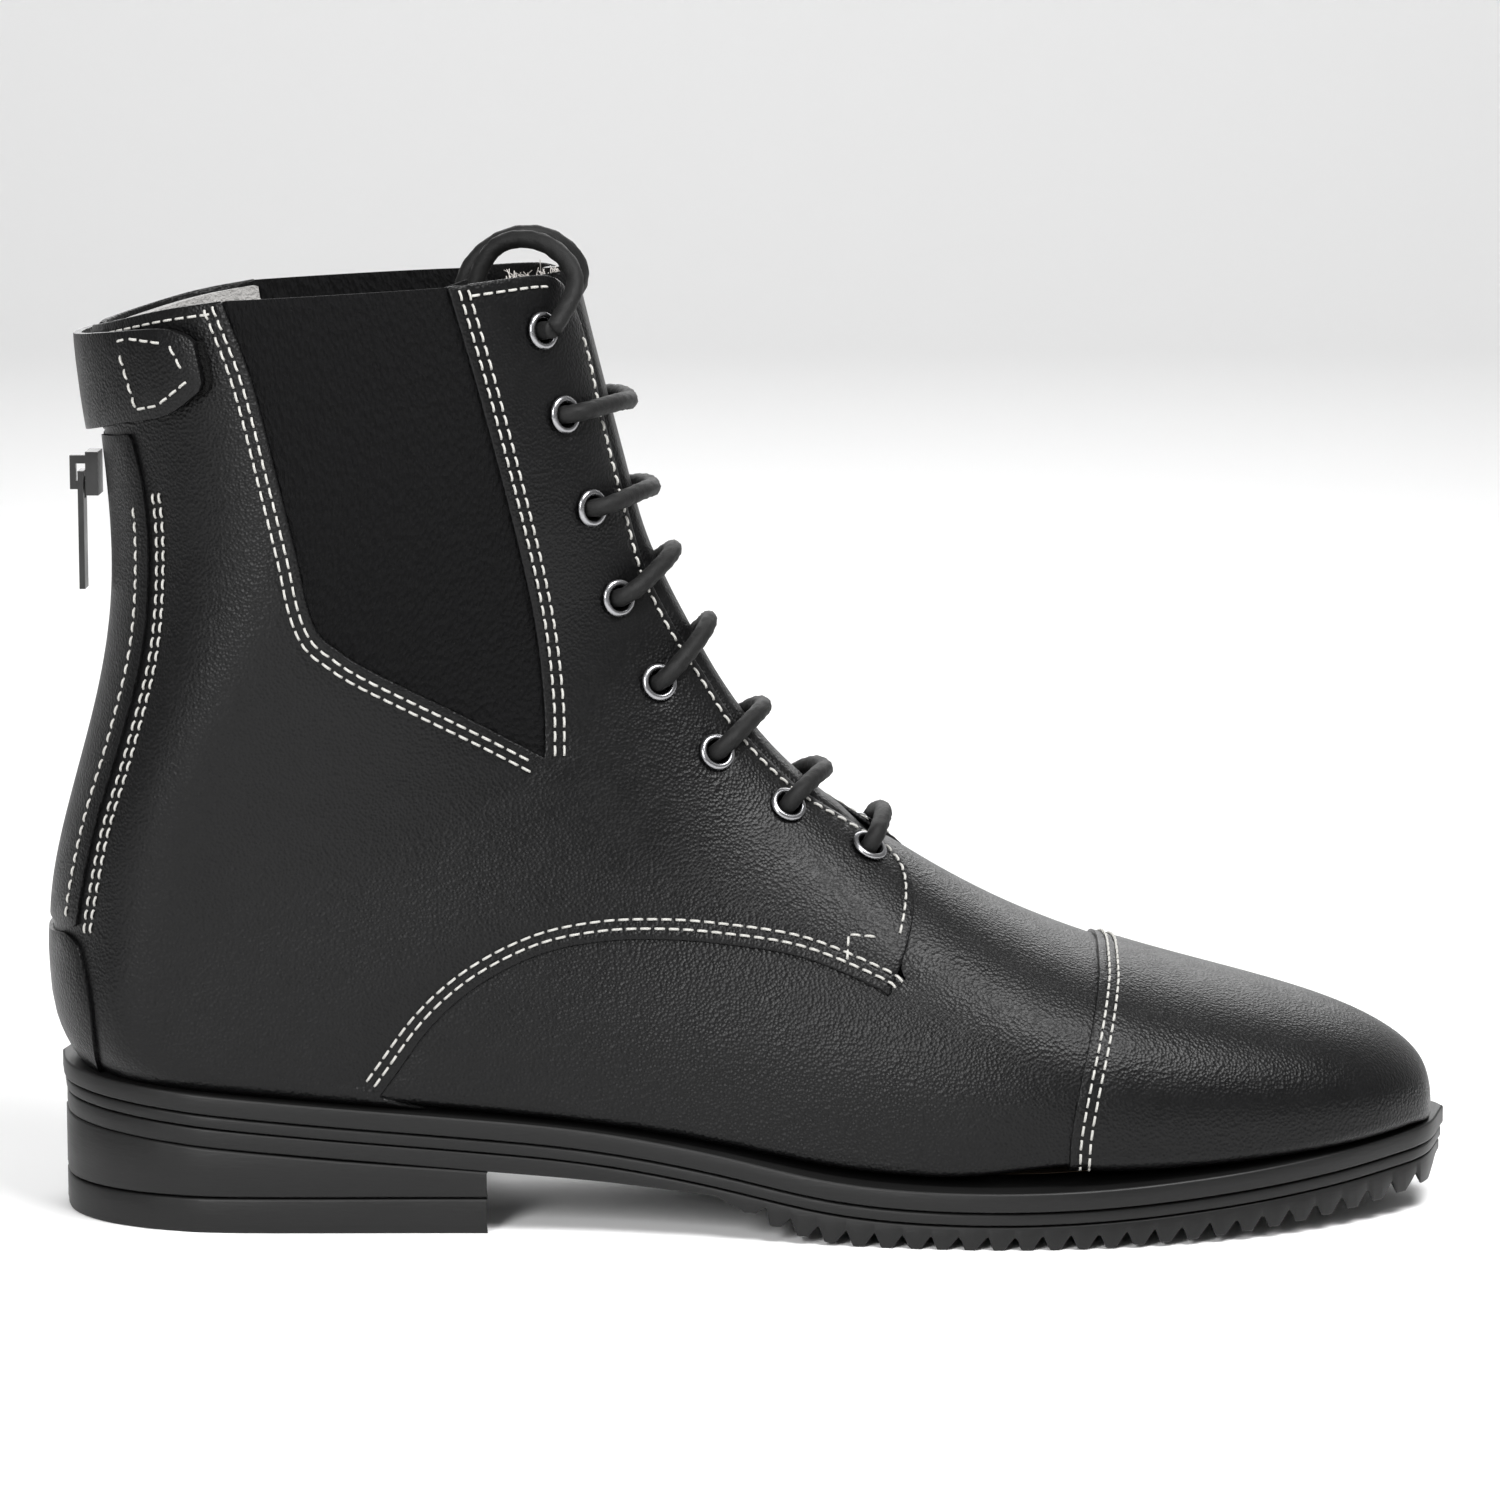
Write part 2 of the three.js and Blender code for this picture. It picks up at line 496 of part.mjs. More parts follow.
const tabHole = box([PULL_X - 2, -1.4, SLIDER_Z - 5.4], [PULL_X + 2, 1.4, SLIDER_Z - 0.8]);
add("zip_pull", tab.subtract(tabHole), "steel");

// ---- strap: sewn on the inner side, round the back, closed on the outer side ----
const strapShape = outline(STRAP_LOW, STRAP_HIGH);
const behindBoot = box([-60, -REACH, 150], [30, REACH, 200]);
const rootCut = box([STRAP_HINGE_X, 0, 150], [30, REACH, 200]);
const strapRing = layer(STRAP_LIFT + STRAP_THICK).subtract(layer(STRAP_LIFT)).intersect(behindBoot)
  .intersect(sideSolid(strapShape));
add("closure_strap", strapRing.subtract(rootCut), "leather");
const rootShape = outline(...corners([[STRAP_HINGE_X + GAP, 166.5], [STRAP_ROOT_FRONT, 171], [2, 183],
  [STRAP_HINGE_X + GAP, 184.6]]));
const rootLayer = layer(STRAP_LIFT + STRAP_THICK).subtract(layer(GAP));
add("strap_anchor", rootLayer.intersect(sideSolid(rootShape, 0, REACH)), "leather");
const patchShape = outline(...corners([[-9, 168.4], [-3.4, 169.6], [1.4, 174.6], [0, 181.8],
  [-10, 182.6]]));
const patchArea = sideSolid(patchShape, -REACH, 0);
const loopLayer = layer(GAP + PATCH_THICK).subtract(layer(GAP));
add("loop_patch", loopLayer.intersect(patchArea), "fabric");
const hookLayer = layer(STRAP_LIFT - GAP).subtract(layer(STRAP_LIFT - GAP - PATCH_THICK));
add("hook_patch", hookLayer.intersect(patchArea), "fabric");

// ---- sole unit ----
function between(low, high) {
  return sideSolid(outline(WELT_LINE.map(([x, z]) => [x, z + high]),
    WELT_LINE.map(([x, z]) => [x, z + low]).reverse()));
}
const soleBlock = (inset) => planSolid(soleOutline(inset), -6, 60);
const FILLER_INSET = 14;       // the welt's width
const fillerRoom = soleBlock(FILLER_INSET);
const weltBand = between(-WELT_THICK, 0);
add("welt", soleBlock(0).intersect(weltBand).subtract(fillerRoom), "rubber");
add("cork_filler", soleBlock(FILLER_INSET + GAP).intersect(weltBand), "cork");
const midsoleLow = -WELT_THICK - GAP - MIDSOLE_THICK;
const shankRoom = box([2, -8, 0], [118, 8, 60]);
const midsoleBand = between(midsoleLow, -WELT_THICK - GAP);
add("midsole", soleBlock(0.5).intersect(midsoleBand).subtract(shankRoom), "rubber");
add("shank", box([2.6, -6, 0], [117.4, 6, 60])
  .intersect(between(midsoleLow + 0.5, midsoleLow + 2)), "steel");

// The outsole: a thin run over the heel, a plain waist and cleats under the fore part.
const outsoleTop = midsoleLow - GAP;
const heelSoleLow = outsoleTop - HEEL_SOLE_THICK;
function cleatProfile() {
  const tips = new THREE.SplineCurve(CLEAT_LINE.map(([x, z]) => new THREE.Vector2(x, z)));
  const run = CLEAT_LINE[CLEAT_LINE.length - 1][0] - CLEAT_LINE[0][0];
  const count = Math.round(run / TOOTH_PITCH);
  const points = [];
  for (let i = 0; i < count; i++) {
    const tip = tips.getPointAt((i + 0.25) / count);
    const root = tips.getPointAt((i + 0.85) / count);
    points.push([tip.x, Math.max(tip.y, 0)], [root.x, root.y + TOOTH_DEPTH]);
  }
  return points;
}
const waist = [[-40, 40], [-40, 32.1 + heelSoleLow], [57, 23.7 + heelSoleLow],
  [82, 21.2 + heelSoleLow + 0.6], [104, 9]];
const outsoleSide = outline(...corners([...waist, ...cleatProfile(), [262, 12], [262, 40]]));
const belowMidsole = soleBlock(0.8).intersect(between(-60, outsoleTop));
add("outsole", belowMidsole.intersect(sideSolid(outsoleSide)), "rubber");

// The heel: a block and its top lift, with a breast slanted in plan.
const slant = HEEL_SLANT * REACH / 32;
const heelPlan = outline(...corners([[-60, -REACH], [HEEL_FRONT + slant, -REACH],
  [HEEL_FRONT - slant, REACH], [-60, REACH]]));
const heelStack = soleBlock(0.6).intersect(planSolid(heelPlan, -6, 60));
add("heel_block", heelStack.intersect(between(-60, heelSoleLow - 2 * GAP))
  .intersect(box([-60, -REACH, TOP_LIFT + GAP], [100, REACH, 60])), "rubber");
add("heel_top_lift", heelStack.intersect(box([-60, -REACH, 0], [100, REACH, TOP_LIFT])), "rubber");

// ---- inside the foot: insole board and footbed ----
const foot = planSolid(soleOutline(INSOLE_INSET), 0, 80).intersect(layer(-LINING_OUT));
function plate(low, high) {
  return sideSolid(outline(lifted(low), lifted(high).reverse()));
}
add("insole_board", foot.intersect(plate(3.4, 5.6)), "board");
add("footbed", foot.intersect(plate(6, FOOTBED_TOP)), "fur");

// ---- eyelets ----
const BARREL_LOW = -2.7;       // heights from the leather's face
const FLANGE_LOW = 0.6;
const FLANGE_TOP = 1.3;
const BARREL_OUTER = EYELET_BORE + EYELET_WALL;
const eyeletProfile = [[EYELET_BORE, BARREL_LOW], [BARREL_OUTER, BARREL_LOW],
  [BARREL_OUTER, FLANGE_LOW], [EYELET_OUTER, FLANGE_LOW], [EYELET_OUTER - 0.5, FLANGE_TOP],
  [EYELET_BORE, FLANGE_TOP], [EYELET_BORE, BARREL_LOW]].map(([r, h]) => new THREE.Vector2(r, h));
["lateral", "medial"].forEach((sideName, k) => {
  eyelets[k].forEach((eyelet, i) => {
    const ring = toSolid(turnedTo(new THREE.LatheGeometry(eyeletProfile, 8), eyelet));
    add(`eyelet_${sideName}_${i + 1}`, ring, "steel");
  });
});

// ---- lace ----
// A route whose sections stand exactly at its points.
class Route extends THREE.Curve {
  constructor(points) {
    super();
    this.points = points;
  }
  getPoint(t) {
    const place = t * (this.points.length - 1);
    const i = Math.min(Math.floor(place), this.points.length - 2);
    return this.points[i].clone().lerp(this.points[i + 1], place - i);
  }
  getUtoTmapping(u) {
    return u;
  }
}

function cord(points, radius = LACE_RADIUS, sides = 8) {
  const section = new THREE.Shape();
  for (let i = 0; i < sides; i++) {
    const a = 2 * Math.PI * i / sides;
    if (i === 0) section.moveTo(radius, 0);
    else section.lineTo(radius * Math.cos(a), radius * Math.sin(a));
  }
  const steps = points.length - 1;
  return toSolid(new THREE.ExtrudeGeometry(section, {
    steps, extrudePath: new Route(points), curveSegments: 1 }));
}

const OVER = 3.6;              // height of the lace's middle over an eyelet
const UNDER = 4.8;             // depth of the lace's middle behind a facing
function mixed(a, b, t) {
  return { s: a.s + (b.s - a.s) * t, angle: a.angle + (b.angle - a.angle) * t };
}
// Over the front from the inner side to the outer side in one row.
function bar(row) {
  const middle = { s: CROSSINGS[row], angle: Math.PI };
  const [outer, inner] = [eyelets[0][row], eyelets[1][row]];
  const path = [];
  [[0, OVER], [0.5, 3.2], [0.8, 3.1]].forEach(([t, height]) => {
    const at = mixed(inner, middle, t);
    path.push(raised(at.s, at.angle, height));
  });
  path.push(raised(middle.s, middle.angle, 3));
  [[0.8, 3.1], [0.5, 3.2], [0, OVER]].forEach(([t, height]) => {
    const at = mixed(outer, middle, t);
    path.push(raised(at.s, at.angle, height));
  });
  return path;
}
const under = (eyelet) => raised(eyelet.s, eyelet.angle, -UNDER);
// Each row's bar crosses from the side where the one below came up.
const lacePath = [];
for (let row = 7; row >= 1; row--) {
  const crossing = bar(row);
  const fromInner = row % 2 === 1;
  const last = eyelets[fromInner ? 0 : 1][row];
  const first = eyelets[fromInner ? 1 : 0][row];
  if (!fromInner) crossing.reverse();
  lacePath.push(under(first), ...crossing, under(last));
}
const [topOuter, topInner] = [eyelets[0][0], eyelets[1][0]];
const outOf = (eyelet) => raised(eyelet.s, eyelet.angle, OVER);
lacePath.push(under(topOuter), outOf(topOuter));
// The other half climbs behind the inner facing, a little behind the row of eyelets.
const CLIMB_BACK = 0.22;
const climb = eyelets[1].slice(1, 7).map(({ s, angle }) => raised(s, angle + CLIMB_BACK, -UNDER));
add("lace", cord([outOf(topInner), under(topInner), ...climb, ...lacePath]), "fabric");

// The free ends go over the collar and hang in the shaft, each with its aglet.
const AGLET_LENGTH = 20;
const AGLET_TOP = 78;
function freeEnd(side, hangX) {
  const start = outOf(side < 0 ? topOuter : topInner);
  const route = [[76.4, 17.5, 192], [74.2, 14, 197.6], [68, 11, 201.6], [60, 8.5, 201],
    [hangX + 1.6, 8, 195], [hangX, 8, 186], [hangX, 8, 170], [hangX, 8, 150], [hangX, 8, 130],
    [hangX, 8, 110], [hangX, 8, 92], [hangX, 8, AGLET_TOP]]
    .map(([x, y, z]) => new THREE.Vector3(x, side * y, z));
  const leave = route[0].clone().sub(start).normalize();
  return [start.addScaledVector(leave, LACE_RADIUS + 2 * GAP), ...route];
}
[["lateral", -1, 54], ["medial", 1, 51]].forEach(([sideName, side, hangX]) => {
  add(`lace_end_${sideName}`, cord(freeEnd(side, hangX)), "fabric");
  const aglet = new THREE.CylinderGeometry(1.6, 1.4, AGLET_LENGTH, 8);
  aglet.rotateX(Math.PI / 2);
  aglet.translate(hangX, side * 8, AGLET_TOP - GAP - AGLET_LENGTH / 2);
  add(`aglet_${sideName}`, toSolid(aglet), "steel");
});

export default group;
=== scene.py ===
# Right lace-up paddock boot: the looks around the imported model. Lengths are worked out in
# millimetres in the part's own frame and turned into metres when a mesh is made.
import json
import math

import bpy
import numpy as np
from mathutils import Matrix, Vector
from mathutils.geometry import delaunay_2d_cdt


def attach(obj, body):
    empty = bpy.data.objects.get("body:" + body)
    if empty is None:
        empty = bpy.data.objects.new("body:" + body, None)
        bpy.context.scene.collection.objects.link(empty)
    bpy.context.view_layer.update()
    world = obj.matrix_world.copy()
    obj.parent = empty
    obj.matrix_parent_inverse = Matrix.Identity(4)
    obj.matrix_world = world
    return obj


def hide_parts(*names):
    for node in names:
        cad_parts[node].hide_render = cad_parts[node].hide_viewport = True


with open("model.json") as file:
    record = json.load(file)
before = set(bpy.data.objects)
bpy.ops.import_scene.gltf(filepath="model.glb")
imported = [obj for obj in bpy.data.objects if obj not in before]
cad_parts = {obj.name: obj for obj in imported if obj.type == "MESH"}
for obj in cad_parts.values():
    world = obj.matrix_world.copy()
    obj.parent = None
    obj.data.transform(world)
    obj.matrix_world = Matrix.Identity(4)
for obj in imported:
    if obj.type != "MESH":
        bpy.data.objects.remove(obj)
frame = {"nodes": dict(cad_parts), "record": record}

MM = 0.001
PI = math.pi
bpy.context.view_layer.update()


# ---- the foot shape, as in the part ----
STATIONS = np.array([
    [0.00, 253.6, 21.5, 253.6, 21.5, 0, 1, 0.30, 3.5],
    [0.03, 252.7, 27.2, 252.8, 17.6, 10, 3, 0.30, 3.5],
    [0.07, 248.6, 32.8, 249.0, 16.9, 18.5, 4, 0.30, 3.4],
    [0.13, 237.5, 39.3, 238.5, 15.6, 29, 5, 0.30, 3.0],
    [0.21, 217.0, 46.2, 217.5, 13.6, 38.5, 5, 0.28, 2.0],
    [0.30, 190.0, 53.8, 189.0, 12.4, 44.5, 5, 0.26, 0.8],
    [0.39, 164.5, 63.6, 158.0, 13.0, 44.6, 5, 0.22, 0],
    [0.47, 144.0, 75.0, 126.0, 15.0, 40, 5, 0.16, 0],
    [0.54, 126.5, 87.2, 92.0, 20.4, 35, 6, 0.12, 0],
    [0.60, 113.8, 99.4, 52.0, 24.8, 32.6, 7, 0.12, 0],
    [0.65, 104.5, 112.5, 10.0, 28.4, 32.2, 8, 0.20, 0],
    [0.69, 99.0, 122.5, -20.0, 31.2, 32, 14, 0.27, 0],
    [0.72, 95.6, 129.0, -31.0, 38.0, 32, 23, 0.33, 0],
    [0.75, 92.8, 135.0, -33.6, 50.0, 32.4, 31, 0.38, 0],
    [0.79, 90.0, 142.0, -33.4, 67.0, 33.6, 37, 0.44, 0],
    [0.85, 86.4, 155.0, -26.4, 96.0, 36, 43, 0.48, 0],
    [0.92, 82.0, 172.0, -19.8, 133.0, 37.4, 46, 0.50, 0],
    [1.00, 77.4, 190.5, -24.0, 184.0, 38.5, 48, 0.50, 0],
    [1.04, 75.2, 199.8, -25.9, 208.0, 38.9, 48, 0.50, 0]])
SECTION_POWER = 2.3
SOLE_BACK = -33
SOLE_OUTER = [(0, 0), (2, 10.5), (6, 18.2), (13, 25), (24, 30.5), (40, 33.2), (85, 33.2),
              (110, 34.2), (135, 38.2), (160, 44), (185, 47.8), (205, 48.2), (225, 45.6),
              (245, 39.6), (262, 31), (276, 20.5), (285, 11), (290, -4)]
SOLE_INNER = [(0, 0), (2, 10.5), (6, 18.2), (13, 25), (24, 30), (40, 32.2), (60, 31.6),
              (80, 28.8), (100, 27), (130, 29.5), (160, 37), (190, 45), (210, 47.5),
              (230, 46.5), (250, 41.5), (268, 33), (281, 21.5), (288, 10), (290, 4)]
WELT_LINE = [(-36, 32.1), (-3, 29), (27, 26.2), (57, 23.7), (82, 21.2), (107, 17.2), (127, 13.6),
             (152, 12), (177, 12.3), (207, 14.2), (237, 16.8), (262, 19.4)]
CLEAT_LINE = [(110, 6.4), (117, 3), (125, 1), (137, 0), (167, 0), (197, 1), (227, 3), (256, 6)]

# ---- outlines of the upper's pieces, seen from the side ----
COLLAR_REAR = [(-27, 183), (-25.5, 183.2), (-8, 188), (6, 190.5)]
COLLAR_FRONT = [(51, 193.2), (62, 194.4), (68.8, 194.8), (72.5, 193.6), (75.3, 189.4)]
FACING_EDGE = [(75.3, 189.4), (78.6, 178.3), (81.3, 165.9), (85.1, 150.7), (89.3, 135.3),
               (94.4, 124.3), (101.3, 112.8), (109.6, 100.4), (120.4, 89.4), (132, 81.6),
               (140.5, 76), (144.6, 70.5), (143.8, 62), (139.1, 50)]
QUARTER_ARC = [(139.1, 50), (136.5, 51.7), (121.1, 57.4), (104.9, 59.8), (92.7, 60.6),
               (80.6, 60.2), (68.4, 57.7), (56.2, 51.6), (46, 43), (38, 34.5), (30.6, 24.5)]
GUSSET_REAR = [(6, 190.5), (11.9, 174.9), (17.2, 153.6), (20.6, 139), (22.4, 129.7),
               (24.7, 123.7), (28.4, 120.4), (34.3, 116.4), (52, 106.8), (69.4, 97.2)]
GUSSET_FRONT = [(69.4, 97.2), (69.2, 109), (67.5, 125.4), (63.6, 145), (57, 171.8), (51, 193.2)]
CAP_SEAM = [(182.7, 52.3), (180.1, 42.8), (177.6, 32.8), (175.8, 22.4), (175.6, 14)]
COVER_EDGE = [(-32, 59.4), (-28.8, 60.3), (-26.1, 58.7), (-24.5, 54.3), (-23.2, 47.6),
              (-22.6, 40.5), (-22, 31)]
ZIP_EDGE = [(-13.8, 165.2), (-10.8, 151.9), (-9.9, 138.2), (-11.3, 119.6), (-16.1, 100.8),
            (-21.8, 82.8), (-25.3, 66.9), (-26.1, 61)]
EYELETS = [(69, 183.7), (73.3, 166.7), (78.6, 147.5), (83.9, 128.7), (92.2, 111.2),
           (104, 96.7), (118.6, 85.6), (135.3, 76.7)]
CROSSINGS = [0.965, 0.899, 0.824, 0.755, 0.684, 0.612, 0.548, 0.497]


# ---- curves ----
def natural_spline(at, values):
    at = np.asarray(at, float)
    values = np.asarray(values, float)
    n = len(at)
    h = np.diff(at)
    system = np.eye(n)
    right = np.zeros(n)
    for i in range(1, n - 1):
        system[i, i - 1:i + 2] = h[i - 1], 2 * (h[i - 1] + h[i]), h[i]
        right[i] = 6 * ((values[i + 1] - values[i]) / h[i] - (values[i] - values[i - 1]) / h[i - 1])
    bend = np.linalg.solve(system, right)

    def curve(t):
        t = np.asarray(t, float)
        i = np.clip(np.searchsorted(at, t) - 1, 0, n - 2)
        a = at[i + 1] - t
        b = t - at[i]
        cubic = (bend[i] * a ** 3 + bend[i + 1] * b ** 3) / (6 * h[i])
        line = (values[i] / h[i] - bend[i] * h[i] / 6) * a
        return cubic + line + (values[i + 1] / h[i] - bend[i + 1] * h[i] / 6) * b
    return curve


front_x, front_z, back_x, back_z, half_width, corner, widest, shift = [
    natural_spline(STATIONS[:, 0], STATIONS[:, k]) for k in range(1, 9)]
welt_top = natural_spline(*zip(*WELT_LINE))


def smooth_line(points, step=1.2):
    """A Catmull-Rom line through points, resampled at an even step."""
    p = np.asarray(points, float)
    if len(p) == 2:
        dense = np.linspace(p[0], p[1], 40)
    else:
        ext = np.vstack([2 * p[0] - p[1], p, 2 * p[-1] - p[-2]])
        t = np.linspace(0, 1, 24, endpoint=False)[:, None]
        parts = []
        for i in range(1, len(ext) - 2):
            a, b, c, d = ext[i - 1:i + 3]
            parts.append(0.5 * (2 * b + (c - a) * t + (2 * a - 5 * b + 4 * c - d) * t ** 2
                                + (3 * b - a - 3 * c + d) * t ** 3))
        dense = np.vstack(parts + [p[-1:]])
    return resample(dense, step)


def resample(line, step):
    gaps = np.linalg.norm(np.diff(line, axis=0), axis=1)
    run = np.concatenate([[0], np.cumsum(gaps)])
    count = max(int(round(run[-1] / step)), 1) + 1
    at = np.linspace(0, run[-1], count)
    return np.stack([np.interp(at, run, line[:, k]) for k in range(line.shape[1])], 1)


def smoothstep(x, low, high):
    t = np.clip((x - low) / (high - low), 0, 1)
    return t * t * (3 - 2 * t)


# ---- the surface: place s along the foot, angle 0..PI down the outer side, past it the inner ----
SETTLE = 3.4        # the upper's lower part sinks onto the welt by up to this much


def surface(s, angle, least_radius=0.5):
    s = np.asarray(s, float)
    angle = np.mod(np.asarray(angle, float), 2 * PI)
    side = np.where(angle <= PI, -1.0, 1.0)
    share = (1 - np.cos(angle)) / 2
    fx, fz, bx, bz = front_x(s), front_z(s), back_x(s), back_z(s)
    length = np.hypot(fx - bx, fz - bz)
    low = np.clip(1 - share * length / np.maximum(corner(s), least_radius), 0, 1)
    high = np.clip((share - widest(s)) / (1 - widest(s)), 0, 1)
    width = np.sqrt(1 - low ** SECTION_POWER) * np.sqrt(1 - high ** SECTION_POWER)
    y = shift(s) + side * half_width(s) * width
    x, z = bx + (fx - bx) * share, bz + (fz - bz) * share
    waist = smoothstep(s, 0.33, 0.42) * (1 - smoothstep(s, 0.69, 0.73))
    z = z - SETTLE * waist * (1 - smoothstep(z - welt_top(x), 5, 22))
    return np.stack([x, y, z], -1)


def normal(s, angle, least_radius=4.0):
    along = surface(s + 0.003, angle, least_radius) - surface(s - 0.003, angle, least_radius)
    round_ = surface(s, angle + 0.03, least_radius) - surface(s, angle - 0.03, least_radius)
    n = np.cross(round_, along)
    return n / np.maximum(np.linalg.norm(n, axis=-1, keepdims=True), 1e-9)


def locate(points):
    """Place and angle on the outer side of points given in the side view."""
    p = np.asarray(points, float)
    low = np.full(len(p), 0.002)
    high = np.full(len(p), 1.04)
    for _ in range(40):
        s = (low + high) / 2
        turn = (front_x(s) - back_x(s)) * (p[:, 1] - back_z(s))
        turn -= (front_z(s) - back_z(s)) * (p[:, 0] - back_x(s))
        low = np.where(turn > 0, s, low)
        high = np.where(turn > 0, high, s)
    s = (low + high) / 2
    ax, az = front_x(s) - back_x(s), front_z(s) - back_z(s)
    share = ((p[:, 0] - back_x(s)) * ax + (p[:, 1] - back_z(s)) * az) / (ax ** 2 + az ** 2)
    return np.stack([s, np.arccos(np.clip(1 - 2 * share, -1, 1))], 1)


def raised(params, height):
    params = np.asarray(params, float)
    s, angle = params[..., 0], params[..., 1]
    return surface(s, angle) + normal(s, angle) * np.asarray(height)[..., None]


def mirrored(params):
    """The same places on the inner side."""
    return np.stack([params[:, 0], 2 * PI - params[:, 1]], 1)


def shifted(params, distance):
    """A line on the surface, moved sideways over the surface by a distance to its left."""
    out = np.array(params, float)
    for _ in range(2):
        p = surface(out[:, 0], out[:, 1])
        tangent = np.gradient(p, axis=0)
        tangent /= np.maximum(np.linalg.norm(tangent, axis=1, keepdims=True), 1e-9)
        side = np.cross(normal(out[:, 0], out[:, 1]), tangent)
        ds = (surface(out[:, 0] + 0.002, out[:, 1]) - p) / 0.002
        da = (surface(out[:, 0], out[:, 1] + 0.01) - p) / 0.01
        target = side * distance / 2
        aa, ab, bb = (ds * ds).sum(1), (ds * da).sum(1), (da * da).sum(1)
        ta, tb = (ds * target).sum(1), (da * target).sum(1)
        det = np.maximum(aa * bb - ab ** 2, 1e-6)
        out[:, 0] += np.clip((ta * bb - tb * ab) / det, -0.05, 0.05)
        out[:, 1] += np.clip((tb * aa - ta * ab) / det, -0.3, 0.3)
    return out


# ---- meshes ----
def new_object(name, verts, faces, material, uv=None, smooth=True):
    mesh = bpy.data.meshes.new(name)
    mesh.from_pydata((np.asarray(verts) * MM).tolist(), [], [list(map(int, f)) for f in faces])
    mesh.update()
    mesh.materials.append(material)
    if smooth:
        mesh.polygons.foreach_set("use_smooth", [True] * len(mesh.polygons))
    if uv is not None:
        layer = mesh.uv_layers.new(name="length")
        loops = np.empty(len(mesh.loops), int)
        mesh.loops.foreach_get("vertex_index", loops)
        layer.data.foreach_set("uv", (np.asarray(uv)[loops]).ravel())
    obj = bpy.data.objects.new(name, mesh)
    bpy.context.scene.collection.objects.link(obj)
    return obj


def settle(obj, body, nodes=()):
    """Put a piece on its body, in place of the part's own nodes."""
    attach(obj, body)
    if nodes:
        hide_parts(*nodes)
    return obj


S_SCALE = 200.0     # millimetres of the foot's length per unit of s, roughly
A_SCALE = 36.0      # millimetres round a section per radian, roughly
RIM_DROP, RIM_REACH = 0.25, 0.8        # a cut edge is pressed down by this much, over this width
GROOVE_DEPTH, GROOVE_REACH = 0.22, 0.7  # a seam pulls the leather in by this much, over this width
EDGE_ROOM, HOLE_ROOM, GROOVE_ROOM = 0.8, 0.7, 1.3    # inner points keep this far away


def inside_polygon(points, polygon):
    x, y = points[:, 0], points[:, 1]
    inside = np.zeros(len(points), bool)
    a = polygon
    b = np.roll(polygon, -1, axis=0)
    for (x0, y0), (x1, y1) in zip(a, b):
        if y0 == y1:
            continue
        hit = ((y0 > y) != (y1 > y)) & (x < (x1 - x0) * (y - y0) / (y1 - y0) + x0)
        inside ^= hit
    return inside


def distance_to(points, line):
    best = np.full(len(points), 1e9)
    for start in range(0, len(line), 200):
        d = np.linalg.norm(points[:, None, :] - line[None, start:start + 200, :], axis=2).min(1)
        best = np.minimum(best, d)
    return best


